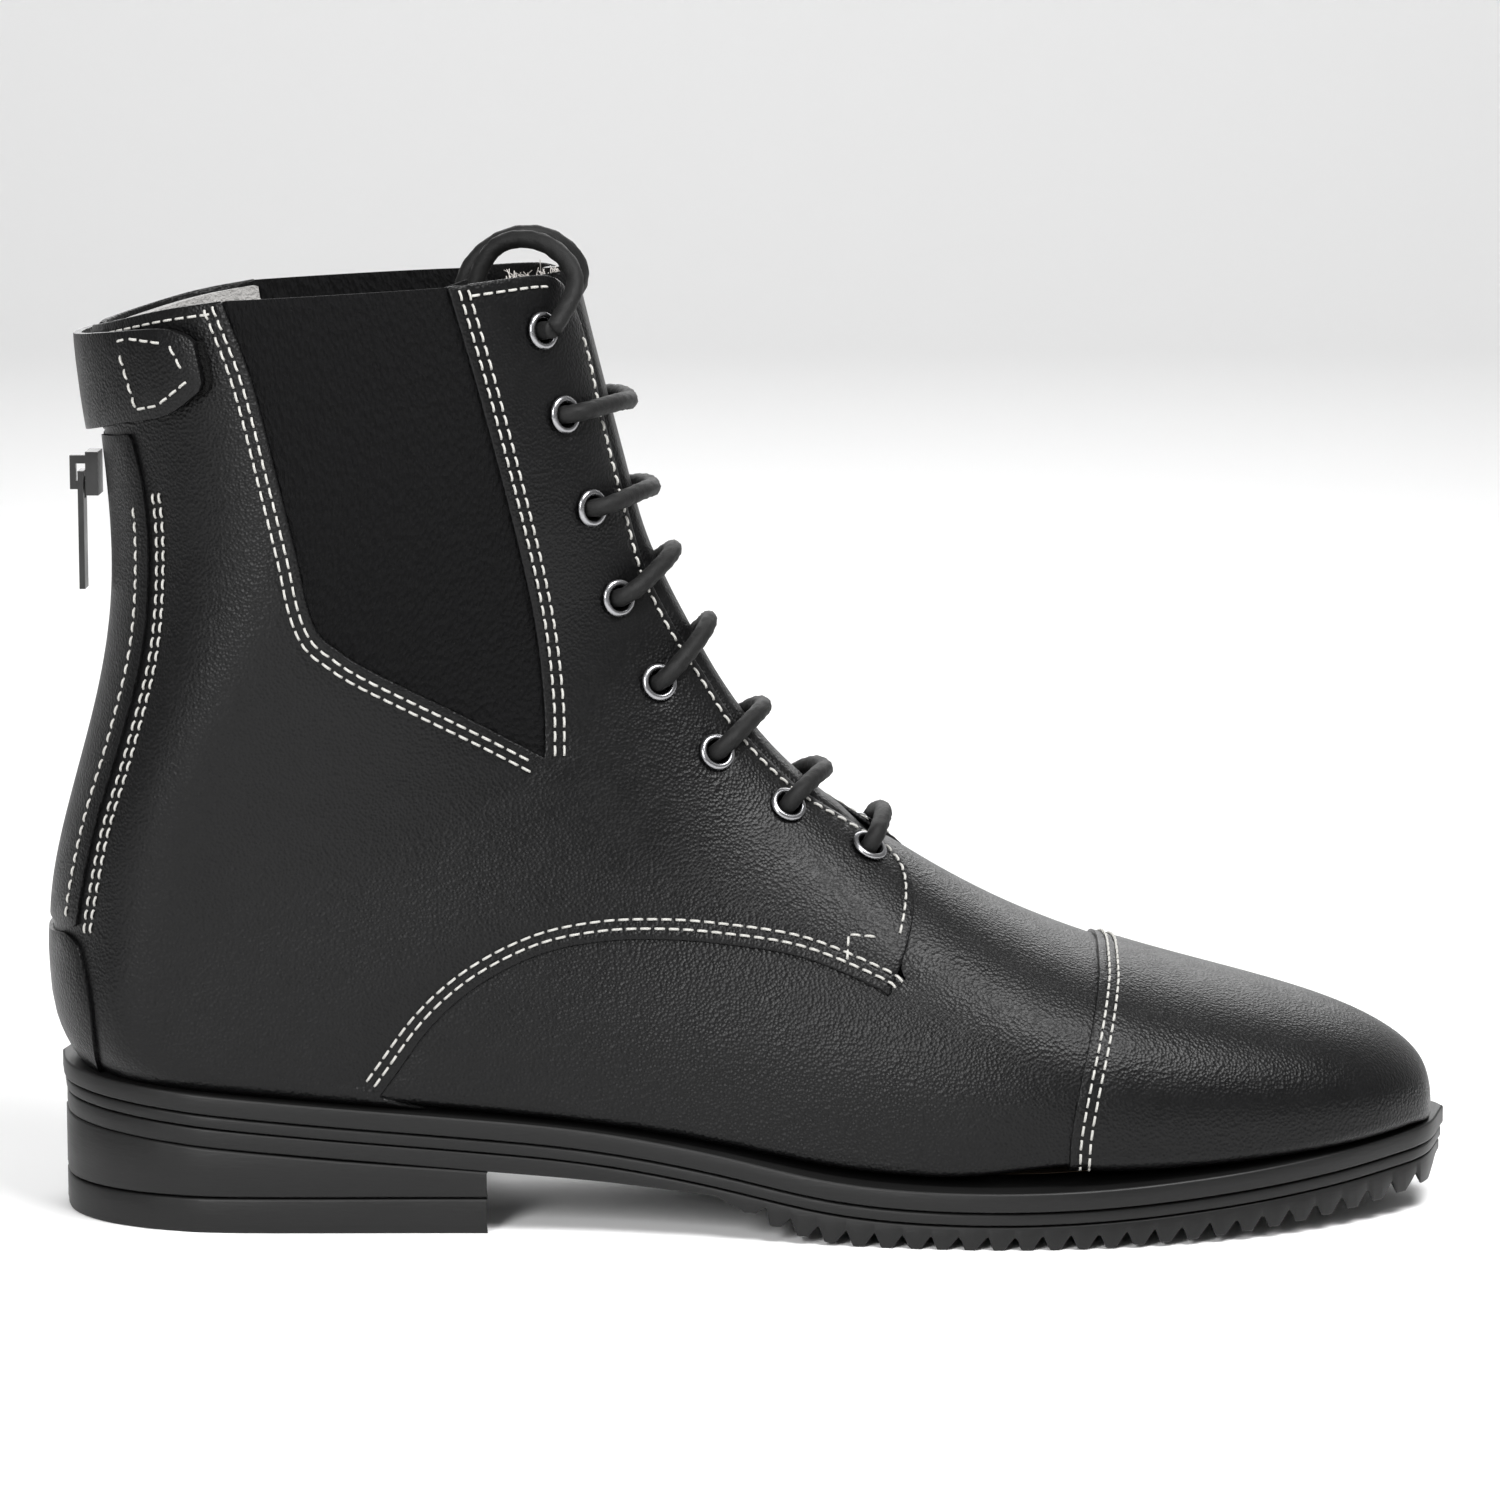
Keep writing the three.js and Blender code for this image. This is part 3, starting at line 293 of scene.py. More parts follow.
def panel(name, loop, material, top, thick, nodes=(), cell=2.2, holes=(), grooves=(), round_edge=0.45,
          body="boot"):
    """A piece of leather or cloth cut from the surface. loop is its outline in (s, angle);
    top is its face's height over the surface, a number or a function of the places."""
    scale = np.array([S_SCALE, A_SCALE])
    edge = resample(np.vstack([loop, loop[:1]]) * scale, 1.0)[:-1]
    low, high = edge.min(0), edge.max(0)
    gx, gy = np.meshgrid(np.arange(low[0], high[0], cell), np.arange(low[1], high[1], cell))
    gx[1::2] += cell / 2
    grid = np.stack([gx.ravel(), gy.ravel()], 1)
    extra = [grid]
    for groove in grooves:
        for d in (-GROOVE_REACH, 0, GROOVE_REACH):
            extra.append(shifted(groove, d) * scale)
    extra = np.vstack(extra)
    keep = inside_polygon(extra, edge) & (distance_to(extra, edge) > EDGE_ROOM)
    if len(grooves):
        from_grid = np.arange(len(extra)) < len(grid)
        lines = np.vstack([groove * scale for groove in grooves])
        keep &= ~from_grid | (distance_to(extra, lines) > GROOVE_ROOM)
    extra = extra[keep]
    loops = [edge]
    for hole in holes:
        loops.append(resample(np.vstack([hole, hole[:1]]) * scale, 0.6)[:-1])
        extra = extra[~inside_polygon(extra, loops[-1])]
        extra = extra[distance_to(extra, loops[-1]) > HOLE_ROOM]
    points = np.vstack(loops + [extra])
    constraints = []
    start = 0
    for line in loops:
        n = len(line)
        constraints += [(start + i, start + (i + 1) % n) for i in range(n)]
        start += n
    out = delaunay_2d_cdt([Vector(p) for p in points], constraints, [], 0, 1e-5)
    flat = np.array([tuple(v) for v in out[0]])
    tris = np.array([f for f in out[2] if len(f) == 3])
    centre = flat[tris].mean(1)
    keep = inside_polygon(centre, edge)
    for line in loops[1:]:
        keep &= ~inside_polygon(centre, line)
    tris = tris[keep]
    used = np.unique(tris)
    remap = -np.ones(len(flat), int)
    remap[used] = np.arange(len(used))
    flat, tris = flat[used], remap[tris]
    params = flat / scale
    height = top(params) if callable(top) else np.full(len(params), float(top))
    rim = distance_to(flat, edge)
    height = height - RIM_DROP * np.exp(-rim / RIM_REACH)
    for groove in grooves:
        near = distance_to(flat, resample(groove * scale, 0.5))
        height = height - GROOVE_DEPTH * np.exp(-(near / GROOVE_REACH) ** 2)
    upper = raised(params, height)
    lower = raised(params, height - thick)
    a, b, c = tris[0]
    if np.cross(upper[b] - upper[a], upper[c] - upper[a]) @ normal(*params[a]) < 0:
        tris = tris[:, ::-1]
    n = len(flat)
    faces = [tuple(t) for t in tris] + [tuple(t[::-1] + n) for t in tris]
    sides = {}
    for a, b, c in tris:
        sides.update({(a, b): True, (b, c): True, (c, a): True})
    faces += [(b, a, a + n, b + n) for a, b in sides if (b, a) not in sides]
    uv = np.stack([flat[:, 1], flat[:, 0]], 1) / 10
    obj = new_object(name, np.vstack([upper, lower]), faces, material, np.vstack([uv, uv]))
    bevel = obj.modifiers.new("edge", "BEVEL")
    bevel.width = min(round_edge, thick * 0.45) * MM
    bevel.segments = 2
    bevel.limit_method = "ANGLE"
    bevel.angle_limit = math.radians(55)
    return settle(obj, body, nodes)


def tube(path, radius, sides=14, wave=0.0, lay=8.0):
    """A closed round tube; wave and lay give it the strands of a braid."""
    path = np.asarray(path, float)
    tangent = np.gradient(path, axis=0)
    tangent /= np.linalg.norm(tangent, axis=1, keepdims=True)
    across = np.cross(tangent[0], [0.3, 0.5, 0.8])
    across /= np.linalg.norm(across)
    run = np.concatenate([[0], np.cumsum(np.linalg.norm(np.diff(path, axis=0), axis=1))])
    angles = np.arange(sides) / sides * 2 * PI
    rings, uvs = [], []
    for p, t, length in zip(path, tangent, run):
        across = across - t * (across @ t)
        across /= np.linalg.norm(across)
        other = np.cross(t, across)
        turn = 2 * PI * length / lay
        bulge = 1 + wave * np.abs(np.sin(2 * angles + turn)) * np.abs(np.sin(2 * angles - turn))
        rings.append(p + radius * bulge[:, None] * (np.cos(angles)[:, None] * across
                                                    + np.sin(angles)[:, None] * other))
        uvs.append(np.stack([angles / (2 * PI), np.full(sides, length / 10)], 1))
    n = len(path)
    i, j = np.meshgrid(np.arange(n - 1), np.arange(sides), indexing="ij")
    k = (j + 1) % sides
    faces = np.stack([i * sides + j, i * sides + k, (i + 1) * sides + k, (i + 1) * sides + j], -1)
    verts = np.vstack(rings + [path[:1], path[-1:]])
    uv = np.vstack(uvs + [[[0, 0]], [[0, run[-1] / 10]]])
    quads = faces.reshape(-1, 4)
    a, b = n * sides, n * sides + 1
    j = np.arange(sides)
    k = (j + 1) % sides
    caps = np.vstack([np.stack([np.full(sides, a), k, j, j], 1),
                      np.stack([np.full(sides, b), (n - 1) * sides + j, (n - 1) * sides + k,
                                (n - 1) * sides + k], 1)])
    return verts, np.vstack([quads, caps]), uv


def clean_faces(faces):
    """Quads whose last corner repeats become triangles."""
    return [tuple(f[:3]) if f[2] == f[3] else tuple(f) for f in faces]


def merged_object(name, parts, material, body="boot", nodes=()):
    """One object from several (vertices, faces, uv) tubes."""
    verts, faces, uvs, base = [], [], [], 0
    for v, f, uv in parts:
        verts.append(v)
        uvs.append(uv)
        faces += clean_faces(f + base)
        base += len(v)
    obj = new_object(name, np.vstack(verts), faces, material, np.vstack(uvs))
    return settle(obj, body, nodes)


def tube_object(name, path, radius, material, nodes=(), sides=14, wave=0.0, lay=8.0, body="boot"):
    verts, faces, uv = tube(path, radius, sides, wave, lay)
    obj = new_object(name, verts, clean_faces(faces), material, uv)
    return settle(obj, body, nodes)


# ---- materials ----
COLOUR_A, COLOUR_B, COLOUR_RESULT = 6, 7, 2      # a mix node's sockets when it mixes colours
BROAD_SHARE = 0.5                                # the broad noise's part in the bump


def material(name, color, roughness, metallic=0.0, sheen=0.0, specular=0.5):
    m = bpy.data.materials.new(name)
    m.use_nodes = True
    shader = m.node_tree.nodes["Principled BSDF"]
    shader.inputs["Base Color"].default_value = (*color, 1)
    shader.inputs["Roughness"].default_value = roughness
    shader.inputs["Metallic"].default_value = metallic
    shader.inputs["Sheen Weight"].default_value = sheen
    shader.inputs["Specular IOR Level"].default_value = specular
    return m, shader


def textured(m, shader, kind, scale, bump, low, high, dark, light, stretch=(1, 1, 1), use_uv=False,
             second=None):
    """Colour, roughness and bump from a procedural texture."""
    nodes, links = m.node_tree.nodes, m.node_tree.links
    place = nodes.new("ShaderNodeTexCoord")
    mapping = nodes.new("ShaderNodeMapping")
    mapping.inputs["Scale"].default_value = stretch
    links.new(place.outputs["UV" if use_uv else "Object"], mapping.inputs["Vector"])
    texture = nodes.new({"voronoi": "ShaderNodeTexVoronoi", "noise": "ShaderNodeTexNoise",
                         "wave": "ShaderNodeTexWave"}[kind])
    texture.inputs["Scale"].default_value = scale
    links.new(mapping.outputs["Vector"], texture.inputs["Vector"])
    value = texture.outputs["Distance" if kind == "voronoi" else "Fac"]
    broad = nodes.new("ShaderNodeTexNoise")
    broad.inputs["Scale"].default_value = second or scale / 9
    broad.inputs["Detail"].default_value = 5
    links.new(mapping.outputs["Vector"], broad.inputs["Vector"])
    ramp = nodes.new("ShaderNodeMapRange")
    ramp.inputs["To Min"].default_value = low
    ramp.inputs["To Max"].default_value = high
    links.new(broad.outputs["Fac"], ramp.inputs["Value"])
    links.new(ramp.outputs["Result"], shader.inputs["Roughness"])
    tint = nodes.new("ShaderNodeMix")
    tint.data_type = "RGBA"
    tint.inputs[COLOUR_A].default_value = (*dark, 1)
    tint.inputs[COLOUR_B].default_value = (*light, 1)
    links.new(broad.outputs["Fac"], tint.inputs[0])
    links.new(tint.outputs[COLOUR_RESULT], shader.inputs["Base Color"])
    total = nodes.new("ShaderNodeMath")
    total.operation = "MULTIPLY_ADD"
    total.inputs[1].default_value = BROAD_SHARE
    links.new(broad.outputs["Fac"], total.inputs[0])
    links.new(value, total.inputs[2])
    relief = nodes.new("ShaderNodeBump")
    relief.inputs["Strength"].default_value = 1.0
    relief.inputs["Distance"].default_value = bump
    links.new(total.outputs[0], relief.inputs["Height"])
    links.new(relief.outputs["Normal"], shader.inputs["Normal"])
    return m


def make_leather(name, base, roughness, grain):
    m, shader = material(name, (base,) * 3, roughness, specular=0.22)
    dark = (base * 0.8, base * 0.8, base * 0.86)
    light = (base * 1.3, base * 1.3, base * 1.4)
    return textured(m, shader, "voronoi", 1500, grain, roughness - 0.06, roughness + 0.1, dark, light)


leather = make_leather("leather", 0.0022, 0.36, 0.00012)
rubber = textured(*material("rubber", (0.005, 0.005, 0.005), 0.45, specular=0.3), "noise", 900, 0.00004,
                  0.36, 0.55, (0.004, 0.004, 0.004), (0.007, 0.007, 0.007), stretch=(0.3, 0.3, 2))
elastic = textured(*material("elastic", (0.004, 0.004, 0.004), 0.9, specular=0.1), "voronoi", 11.0,
                   0.0007, 0.8, 0.95, (0.0015, 0.0015, 0.0015), (0.007, 0.007, 0.0075),
                   stretch=(1.5, 1.0, 1), use_uv=True, second=30)
felt = textured(*material("felt", (0.3, 0.29, 0.28), 1.0, sheen=0.4), "noise", 1500, 0.0009, 0.9, 1.0,
                (0.20, 0.195, 0.19), (0.42, 0.41, 0.40), second=300)
tape = textured(*material("tape", (0.005, 0.005, 0.005), 0.85, specular=0.2), "wave", 90, 0.0002, 0.8,
                0.95, (0.003, 0.003, 0.003), (0.008, 0.008, 0.008), second=400)
braid = textured(*material("braid", (0.006, 0.006, 0.006), 0.6, specular=0.25), "noise", 2600, 0.0001,
                 0.5, 0.75, (0.003, 0.003, 0.003), (0.010, 0.010, 0.010), second=700)
hook_loop = textured(*material("hook_loop", (0.01, 0.01, 0.01), 0.95, specular=0.1), "voronoi", 1300,
                     0.0006, 0.85, 1.0, (0.002, 0.002, 0.002), (0.01, 0.01, 0.01))
board = textured(*material("board", (0.25, 0.18, 0.12), 0.9), "noise", 700, 0.0002, 0.8, 0.95,
                 (0.18, 0.13, 0.08), (0.32, 0.24, 0.16))
steel = textured(*material("steel", (0.45, 0.45, 0.46), 0.35, metallic=1.0), "noise", 1500, 0.00002,
                 0.25, 0.45, (0.36, 0.36, 0.37), (0.5, 0.5, 0.5))
eyelet_steel = textured(*material("eyelet_steel", (0.3, 0.3, 0.31), 0.25, metallic=1.0), "noise", 900,
                        0.00001, 0.18, 0.34, (0.2, 0.2, 0.21), (0.42, 0.42, 0.43))
black_metal = textured(*material("black_metal", (0.03, 0.03, 0.03), 0.35, metallic=0.8), "noise", 900,
                       0.00001, 0.28, 0.45, (0.02, 0.02, 0.02), (0.05, 0.05, 0.05))
thread = textured(*material("thread", (0.5, 0.5, 0.47), 0.7), "wave", 1400, 0.00006, 0.6, 0.8,
                  (0.38, 0.375, 0.35), (0.60, 0.59, 0.56), second=600)
fur_skin = textured(*material("fur_skin", (0.4, 0.38, 0.36), 1.0, sheen=0.5), "noise", 900, 0.0015,
                    0.9, 1.0, (0.25, 0.24, 0.23), (0.5, 0.48, 0.46), second=200)
fur_hair = textured(*material("fur_hair", (0.55, 0.52, 0.49), 0.7, sheen=0.3), "noise", 500, 0.00002,
                    0.6, 0.8, (0.36, 0.34, 0.32), (0.72, 0.68, 0.64), second=150)

SLOT_LOOKS = {
    "leather": leather, "elastic": elastic, "lining": felt, "fur": fur_skin, "board": board,
    "zip_tape": tape, "zip_teeth": tape, "zip_metal": black_metal, "hook_and_loop": hook_loop,
    "sole_rubber": rubber, "welt": rubber, "cork": board, "steel": steel,
    "eyelet_metal": eyelet_steel, "lace": braid, "aglet": black_metal}
for part in frame["record"]["subparts"]:
    node = frame["nodes"][part["node"]]
    node.data.materials.clear()
    node.data.materials.append(SLOT_LOOKS[part["material_slot"]])


# ---- camera, lights and floor ----
CAMERA_DISTANCE = 1.1
CAMERA_ELEVATION = math.radians(8.6)
AIM = Vector((0.111, 0, 0.095))
camera_data = bpy.data.cameras.new("camera")
camera_data.sensor_width = 36
camera_data.lens = 127.08
camera = bpy.data.objects.new("camera", camera_data)
camera.location = AIM + CAMERA_DISTANCE * Vector((0, -math.cos(CAMERA_ELEVATION),
                                                   math.sin(CAMERA_ELEVATION)))
camera.rotation_euler = (AIM - camera.location).to_track_quat("-Z", "Y").to_euler()
bpy.context.scene.collection.objects.link(camera)
bpy.context.scene.camera = camera


def area_light(name, place, aim, size, power):
    data = bpy.data.lights.new(name, "AREA")
    data.shape = "RECTANGLE"
    data.size, data.size_y = size
    data.energy = power
    lamp = bpy.data.objects.new(name, data)
    lamp.location = place
    lamp.rotation_euler = (Vector(aim) - Vector(place)).to_track_quat("-Z", "Y").to_euler()
    bpy.context.scene.collection.objects.link(lamp)


area_light("key", (-0.30, -0.95, 0.55), (0.0, 0, 0.1), (0.28, 0.5), 9)
area_light("top", (0.42, -0.35, 0.85), (0.17, 0, 0.06), (0.5, 0.35), 10)
area_light("back", (0.1, 0.9, 0.6), (0.1, 0, 0.1), (1.0, 0.6), 6)
world = bpy.data.worlds.new("studio")
world.use_nodes = True
world.node_tree.nodes["Background"].inputs["Color"].default_value = (1, 1, 1, 1)
world.node_tree.nodes["Background"].inputs["Strength"].default_value = 0.35
bpy.context.scene.world = world
bpy.context.scene.view_settings.view_transform = "Standard"

floor_look = material("floor", (0.94, 0.94, 0.94), 0.8)[0]
FLOOR_SPREAD = 3000
SWEEP_START, SWEEP_RADIUS = 900, 500
t = np.linspace(0, PI / 2, 24)
run_y = np.concatenate([[-FLOOR_SPREAD], SWEEP_START + SWEEP_RADIUS * np.sin(t),
                        [SWEEP_START + SWEEP_RADIUS]])
run_z = np.concatenate([[0], SWEEP_RADIUS * (1 - np.cos(t)), [FLOOR_SPREAD]])
n = len(run_y)
floor_verts = [(x, y, z) for x in (-FLOOR_SPREAD, FLOOR_SPREAD) for y, z in zip(run_y, run_z)]
floor = new_object("floor", floor_verts, [(i, i + n, i + n + 1, i + 1) for i in range(n - 1)], floor_look)


# ---- outlines on the surface ----
def path_of(points, step=1.2):
    return locate(smooth_line(points, step))


def line_of(*places, count=30):
    """A run of (s, angle) places joined by straight steps."""
    p = np.asarray(places, float)
    t = np.linspace(0, len(p) - 1, count * (len(p) - 1) + 1)
    i = np.arange(len(p))
    return np.stack([np.interp(t, i, p[:, 0]), np.interp(t, i, p[:, 1])], 1)


facing = path_of(FACING_EDGE)
arc = path_of(QUARTER_ARC[:-1] + [(35.5, 31.5)])
gusset_rear = path_of(GUSSET_REAR)
gusset_front = path_of(GUSSET_FRONT)
collar_rear = path_of(COLLAR_REAR)
collar_front = path_of(COLLAR_FRONT)
cap_seam = path_of(CAP_SEAM)
cover_edge = path_of(COVER_EDGE)
zip_edge = path_of(ZIP_EDGE)
SLOT_ANGLE = 0.12
UNDERSIDE = 0.22

stitch_rows = {"boot": [], "strap": []}


def sew(line, *distances, body="boot", height=0.2, both=True):
    for d in distances:
        row = shifted(line, d)
        stitch_rows[body].append((row, height))
        if both:
            stitch_rows[body].append((mirrored(row), height))
    return [shifted(line, d) for d in distances]


# Quarters: the rear edge at the zip, the collar, the notch for the gusset, facing and arc.
rear = line_of((0.735, 0.02), (0.74, SLOT_ANGLE), (collar_rear[0][0], SLOT_ANGLE))
base = line_of((arc[-1][0], arc[-1][1]), (0.60, UNDERSIDE), (0.69, UNDERSIDE), (0.70, 0.02), (0.735, 0.02))
quarter_loop = np.vstack([rear, collar_rear[collar_rear[:, 1] > SLOT_ANGLE], gusset_rear, gusset_front,
                          collar_front, facing, arc, base[1:]])
grooves = []
grooves += sew(arc, -2.2, -4.1)
grooves += sew(gusset_rear, -2.0, -3.9)
grooves += sew(gusset_front, -2.0, -3.9)
grooves += sew(facing[6:-8], -2.1)
grooves += sew(collar_rear[8:], -2.2)
grooves += sew(collar_front[3:-6], -2.4)
grooves += sew(zip_edge[12:], 2.2, 4.1)
for end in ((138.2, 60.8), (130.6, 54.8)):
    sew(path_of([(131, 61.5), end], 1.0), 0.0)


def circle_on(place, radius, count=28):
    """A round outline of a real radius about a place on the surface."""
    s, a = place
    p = surface(s, a)
    ds = (surface(s + 0.002, a) - p) / 0.002
    da = (surface(s, a + 0.01) - p) / 0.01
    metric = np.array([[ds @ ds, ds @ da], [ds @ da, da @ da]])
    root = np.linalg.cholesky(np.linalg.inv(metric))
    t = np.arange(count) / count * 2 * PI
    return place + (root @ (radius * np.stack([np.cos(t), np.sin(t)]))).T


eyelet_places = locate(EYELETS)
holes = [circle_on(e, 2.9) for e in eyelet_places]
TOP = 0.2
THICK = 1.1
panel("quarter_lateral_leather", quarter_loop, leather, TOP, THICK, ["quarter_lateral"],
      holes=holes, grooves=grooves)
panel("quarter_medial_leather", mirrored(quarter_loop)[::-1], leather, TOP, THICK, ["quarter_medial"],
      holes=[mirrored(h) for h in holes], grooves=[mirrored(g) for g in grooves])

# Gussets reach a little under the leather.
gusset_loop = np.vstack([shifted(gusset_rear, -5), shifted(gusset_front, -5),
                         path_of([(51, 193.0), (6, 190.3)])])
panel("gusset_lateral_elastic", gusset_loop, elastic, -1.0, 1.3, ["elastic_gusset_lateral"], cell=3)
panel("gusset_medial_elastic", mirrored(gusset_loop)[::-1], elastic, -1.0, 1.3,
      ["elastic_gusset_medial"], cell=3)


def both_sides(half):
    """A closed outline from its outer-side half, which runs from the middle to the middle."""
    return np.vstack([half, mirrored(half)[::-1][1:-1]])


# Toe cap over the vamp, vamp under the quarters.
SEAM_TOP = (0.322, PI)
seam = np.vstack([line_of(SEAM_TOP, tuple(cap_seam[0])), cap_seam,
                  line_of(tuple(cap_seam[-1]), (0.335, UNDERSIDE), count=6)])
cap_half = np.vstack([seam, line_of((0.335, UNDERSIDE), (0.03, 0.5), (0.0008, 0.9), (0.0008, PI),
                                    count=60)])
cap_rows = sew(seam[:-8], 2.0, 3.9)
panel("toe_cap_leather", both_sides(cap_half), leather, TOP, THICK, ["toe_cap"],
      grooves=cap_rows + [mirrored(r) for r in cap_rows])
front_edge = shifted(seam, 5)
front_edge[0, 1] = PI
vamp_base = line_of((front_edge[-1][0], UNDERSIDE), (0.42, UNDERSIDE), (0.64, UNDERSIDE))
vamp_half = np.vstack([front_edge, vamp_base, shifted(arc, -5)[::-1],
                       line_of((0.47, 2.0), (0.49, PI))[4:]])
panel("vamp_leather", both_sides(vamp_half), leather, -0.85, 1.0, ["vamp"])

# Counter cover at the heel, and the guards beside the zip.
cover_half = np.vstack([line_of((0.772, 0), (0.772, 0.02), count=2), cover_edge[2:],
                        line_of(tuple(cover_edge[-1]), (0.697, 0.25), (0.69, 0.0), count=10)])
sew(cover_edge[3:], -2.0)
panel("counter_cover_leather", np.vstack([cover_half, (cover_half * [1, -1])[::-1][1:-1]]), leather, 1.3,
      1.2, ["counter_cover"])
guard_loop = np.vstack([line_of((0.778, 0.16), (0.965, 0.16)), zip_edge[2:-1]])
sew(zip_edge[14:], -3.6, height=1.2)
for name, loop in (("lateral", guard_loop), ("medial", mirrored(guard_loop)[::-1])):
    panel(f"zip_guard_{name}_leather", loop, leather, 1.2, 1.0, [f"zip_guard_{name}"])
    inner = line_of((0.775, 0.02), (0.995, 0.02), (0.995, 0.35), (0.775, 0.35))
    inner = inner if name == "lateral" else mirrored(inner)[::-1]
    panel(f"zip_tape_{name}_cloth", inner, tape, -1.6, 0.6, [f"zip_tape_{name}"])

# Zip coil: small links from each side along the middle of the back.
coil = []
run = np.linspace(0.775, 0.995, 300)
centre_line = resample(np.stack([back_x(run), np.zeros(300), back_z(run)], 1), 1.0)
for i, p in enumerate(centre_line[1:-1]):
    side = -1 if i % 2 else 1
    path = np.array([[0.9, 0.4, 0], [-0.2, 1.6, 0], [-0.9, 0.9, 0.2], [-0.9, -0.6, 0.3]]) * [1, side, 1]
    coil.append(tube(p + path + [0.7, 0, 0], 0.42, 6))
merged_object("zip_coil", coil, black_metal, nodes=["zip_teeth_lateral", "zip_teeth_medial"])

# Strap across the back, its sewn end and the hook-and-loop patches.
STRAP_TOP = 4.1
HINGE_X = -6
strap_low = path_of([(-23.8, 162), (-12.4, 165.8), (-3.7, 167.8), (2.6, 172.6), (3.5, 173.6)])
strap_high = path_of([(3.5, 174.6), (1.9, 182.6), (0.9, 183.6), (-4.3, 185.1), (-15.6, 183.8),
                      (-24.6, 182.2)])
strap_back = line_of((strap_high[-1][0], strap_high[-1][1]), (strap_high[-1][0], 0.0))
low_back = line_of((strap_low[0][0], 0.0), (strap_low[0][0], strap_low[0][1]))
medial_low = strap_low[surface(*strap_low.T)[:, 0] < HINGE_X]
medial_high = strap_high[surface(*strap_high.T)[:, 0] < HINGE_X]
strap_loop = np.vstack([strap_low, strap_high, strap_back, (medial_high * [1, -1])[::-1],
                        (medial_low * [1, -1])[::-1], low_back])
panel("strap_leather", strap_loop, leather, STRAP_TOP, 1.7, ["closure_strap"], body="strap",
      round_edge=0.6)
pentagon = [(-10.6, 183.0), (-2.6, 182.2), (0.9, 175), (-5, 169.8), (-9.2, 168.8), (-13, 182.2)]
for start, end in zip(pentagon, pentagon[1:] + pentagon[:1]):
    sew(path_of([start, end]), 0.0, body="strap", height=STRAP_TOP, both=False)
root = np.vstack([path_of([(-5.7, 167.2), (3.6, 170.8)]), path_of([(3.8, 171.4), (2, 183)]),
                  path_of([(1.6, 183.4), (-5.7, 184.4)])])
panel("strap_anchor_leather", mirrored(root)[::-1], leather, STRAP_TOP, 3.7, ["strap_anchor"])
stitch_rows["boot"].append((mirrored(path_of([(-3.5, 169.5), (-3.5, 182.5)])), STRAP_TOP))
patch = np.vstack([path_of([(-9, 168.6), (0.5, 170.4)]), path_of([(4.2, 173), (4.4, 176)]),
                   path_of([(2.6, 182.4), (-10, 183)])])
panel("loop_pile", patch, hook_loop, 1.0, 0.7, ["loop_patch"])
panel("hook_tape", patch, hook_loop, 2.0, 0.7, ["hook_patch"], body="strap")

# ---- tongue and linings ----
edge_s, edge_a = facing[:, 0], facing[:, 1]
order = np.argsort(edge_s)


def tongue_height(params):
    edge = np.interp(params[:, 0], edge_s[order], edge_a[order])
    angle = np.where(params[:, 1] > PI, 2 * PI - params[:, 1], params[:, 1])
    under = (edge - angle) * A_SCALE
    drop = smoothstep(under, -4, 2)
    return -0.9 - 2.6 * drop - 1.5 * smoothstep(0.53 - params[:, 0], 0, 0.04)


tongue_half = line_of((1.022, PI), (1.02, 2.75), (1.0, 2.45), (0.95, 2.35), (0.7, 2.3), (0.45, 2.35),
                      (0.44, PI))
panel("tongue_leather", both_sides(tongue_half), leather, tongue_height, 1.4, ["tongue"])
fur_half = line_of((1.014, PI), (1.012, 2.75), (0.994, 2.48), (0.95, 2.38), (0.7, 2.33), (0.46, 2.4),
                   (0.45, PI))
panel("tongue_fur_base", both_sides(fur_half), fur_skin, lambda p: tongue_height(p) - 1.5, 2.0,
      ["tongue_lining"], cell=3.5)
lining_loop = np.vstack([line_of((0.71, 0.1), (0.993, 0.1)), shifted(collar_rear[6:], -1.2),
                         shifted(gusset_rear[2:], -1.0), path_of([(69.4, 95), (100, 78), (115, 62)]),
                         line_of((0.5, 0.5), (0.6, 0.35), (0.69, 0.3), (0.71, 0.1))])
panel("lining_lateral_felt", lining_loop, felt, -1.1, 2.6, ["quarter_lining_lateral"], cell=3.5)
panel("lining_medial_felt", mirrored(lining_loop)[::-1], felt, -1.1, 2.6, ["quarter_lining_medial"],
      cell=3.5)
vamp_fur = line_of((0.16, PI), (0.16, 0.9), (0.3, 0.6), (0.46, 0.7), (0.45, PI))
panel("vamp_lining_fur", both_sides(vamp_fur), fur_skin, -2.6, 3.0, ["vamp_lining"], cell=4)

# ---- stitches: short threads lying over the leather ----
STITCH_PITCH = 2.9
STEPS = 6           # samples in one pitch, of which five make the thread seen
THREAD_LIFT = np.array([-0.15, 0.16, 0.2, 0.16, -0.15])[:, None]
THREAD_RADIUS = 0.27
for body, rows in stitch_rows.items():
    threads = []
    for row, height in rows:
        line = resample(raised(row, height), STITCH_PITCH / STEPS)
        tops = resample(raised(row, height + 1), STITCH_PITCH / STEPS)
        for i in range(1, len(line) - 5, STEPS):
            up = tops[min(i + 2, len(tops) - 1)] - line[i + 2]
            up /= max(np.linalg.norm(up), 1e-6)
            threads.append(tube(line[i:i + 5] + THREAD_LIFT * up, THREAD_RADIUS, 6))
    merged_object(f"stitches_{body}", threads, thread, body)

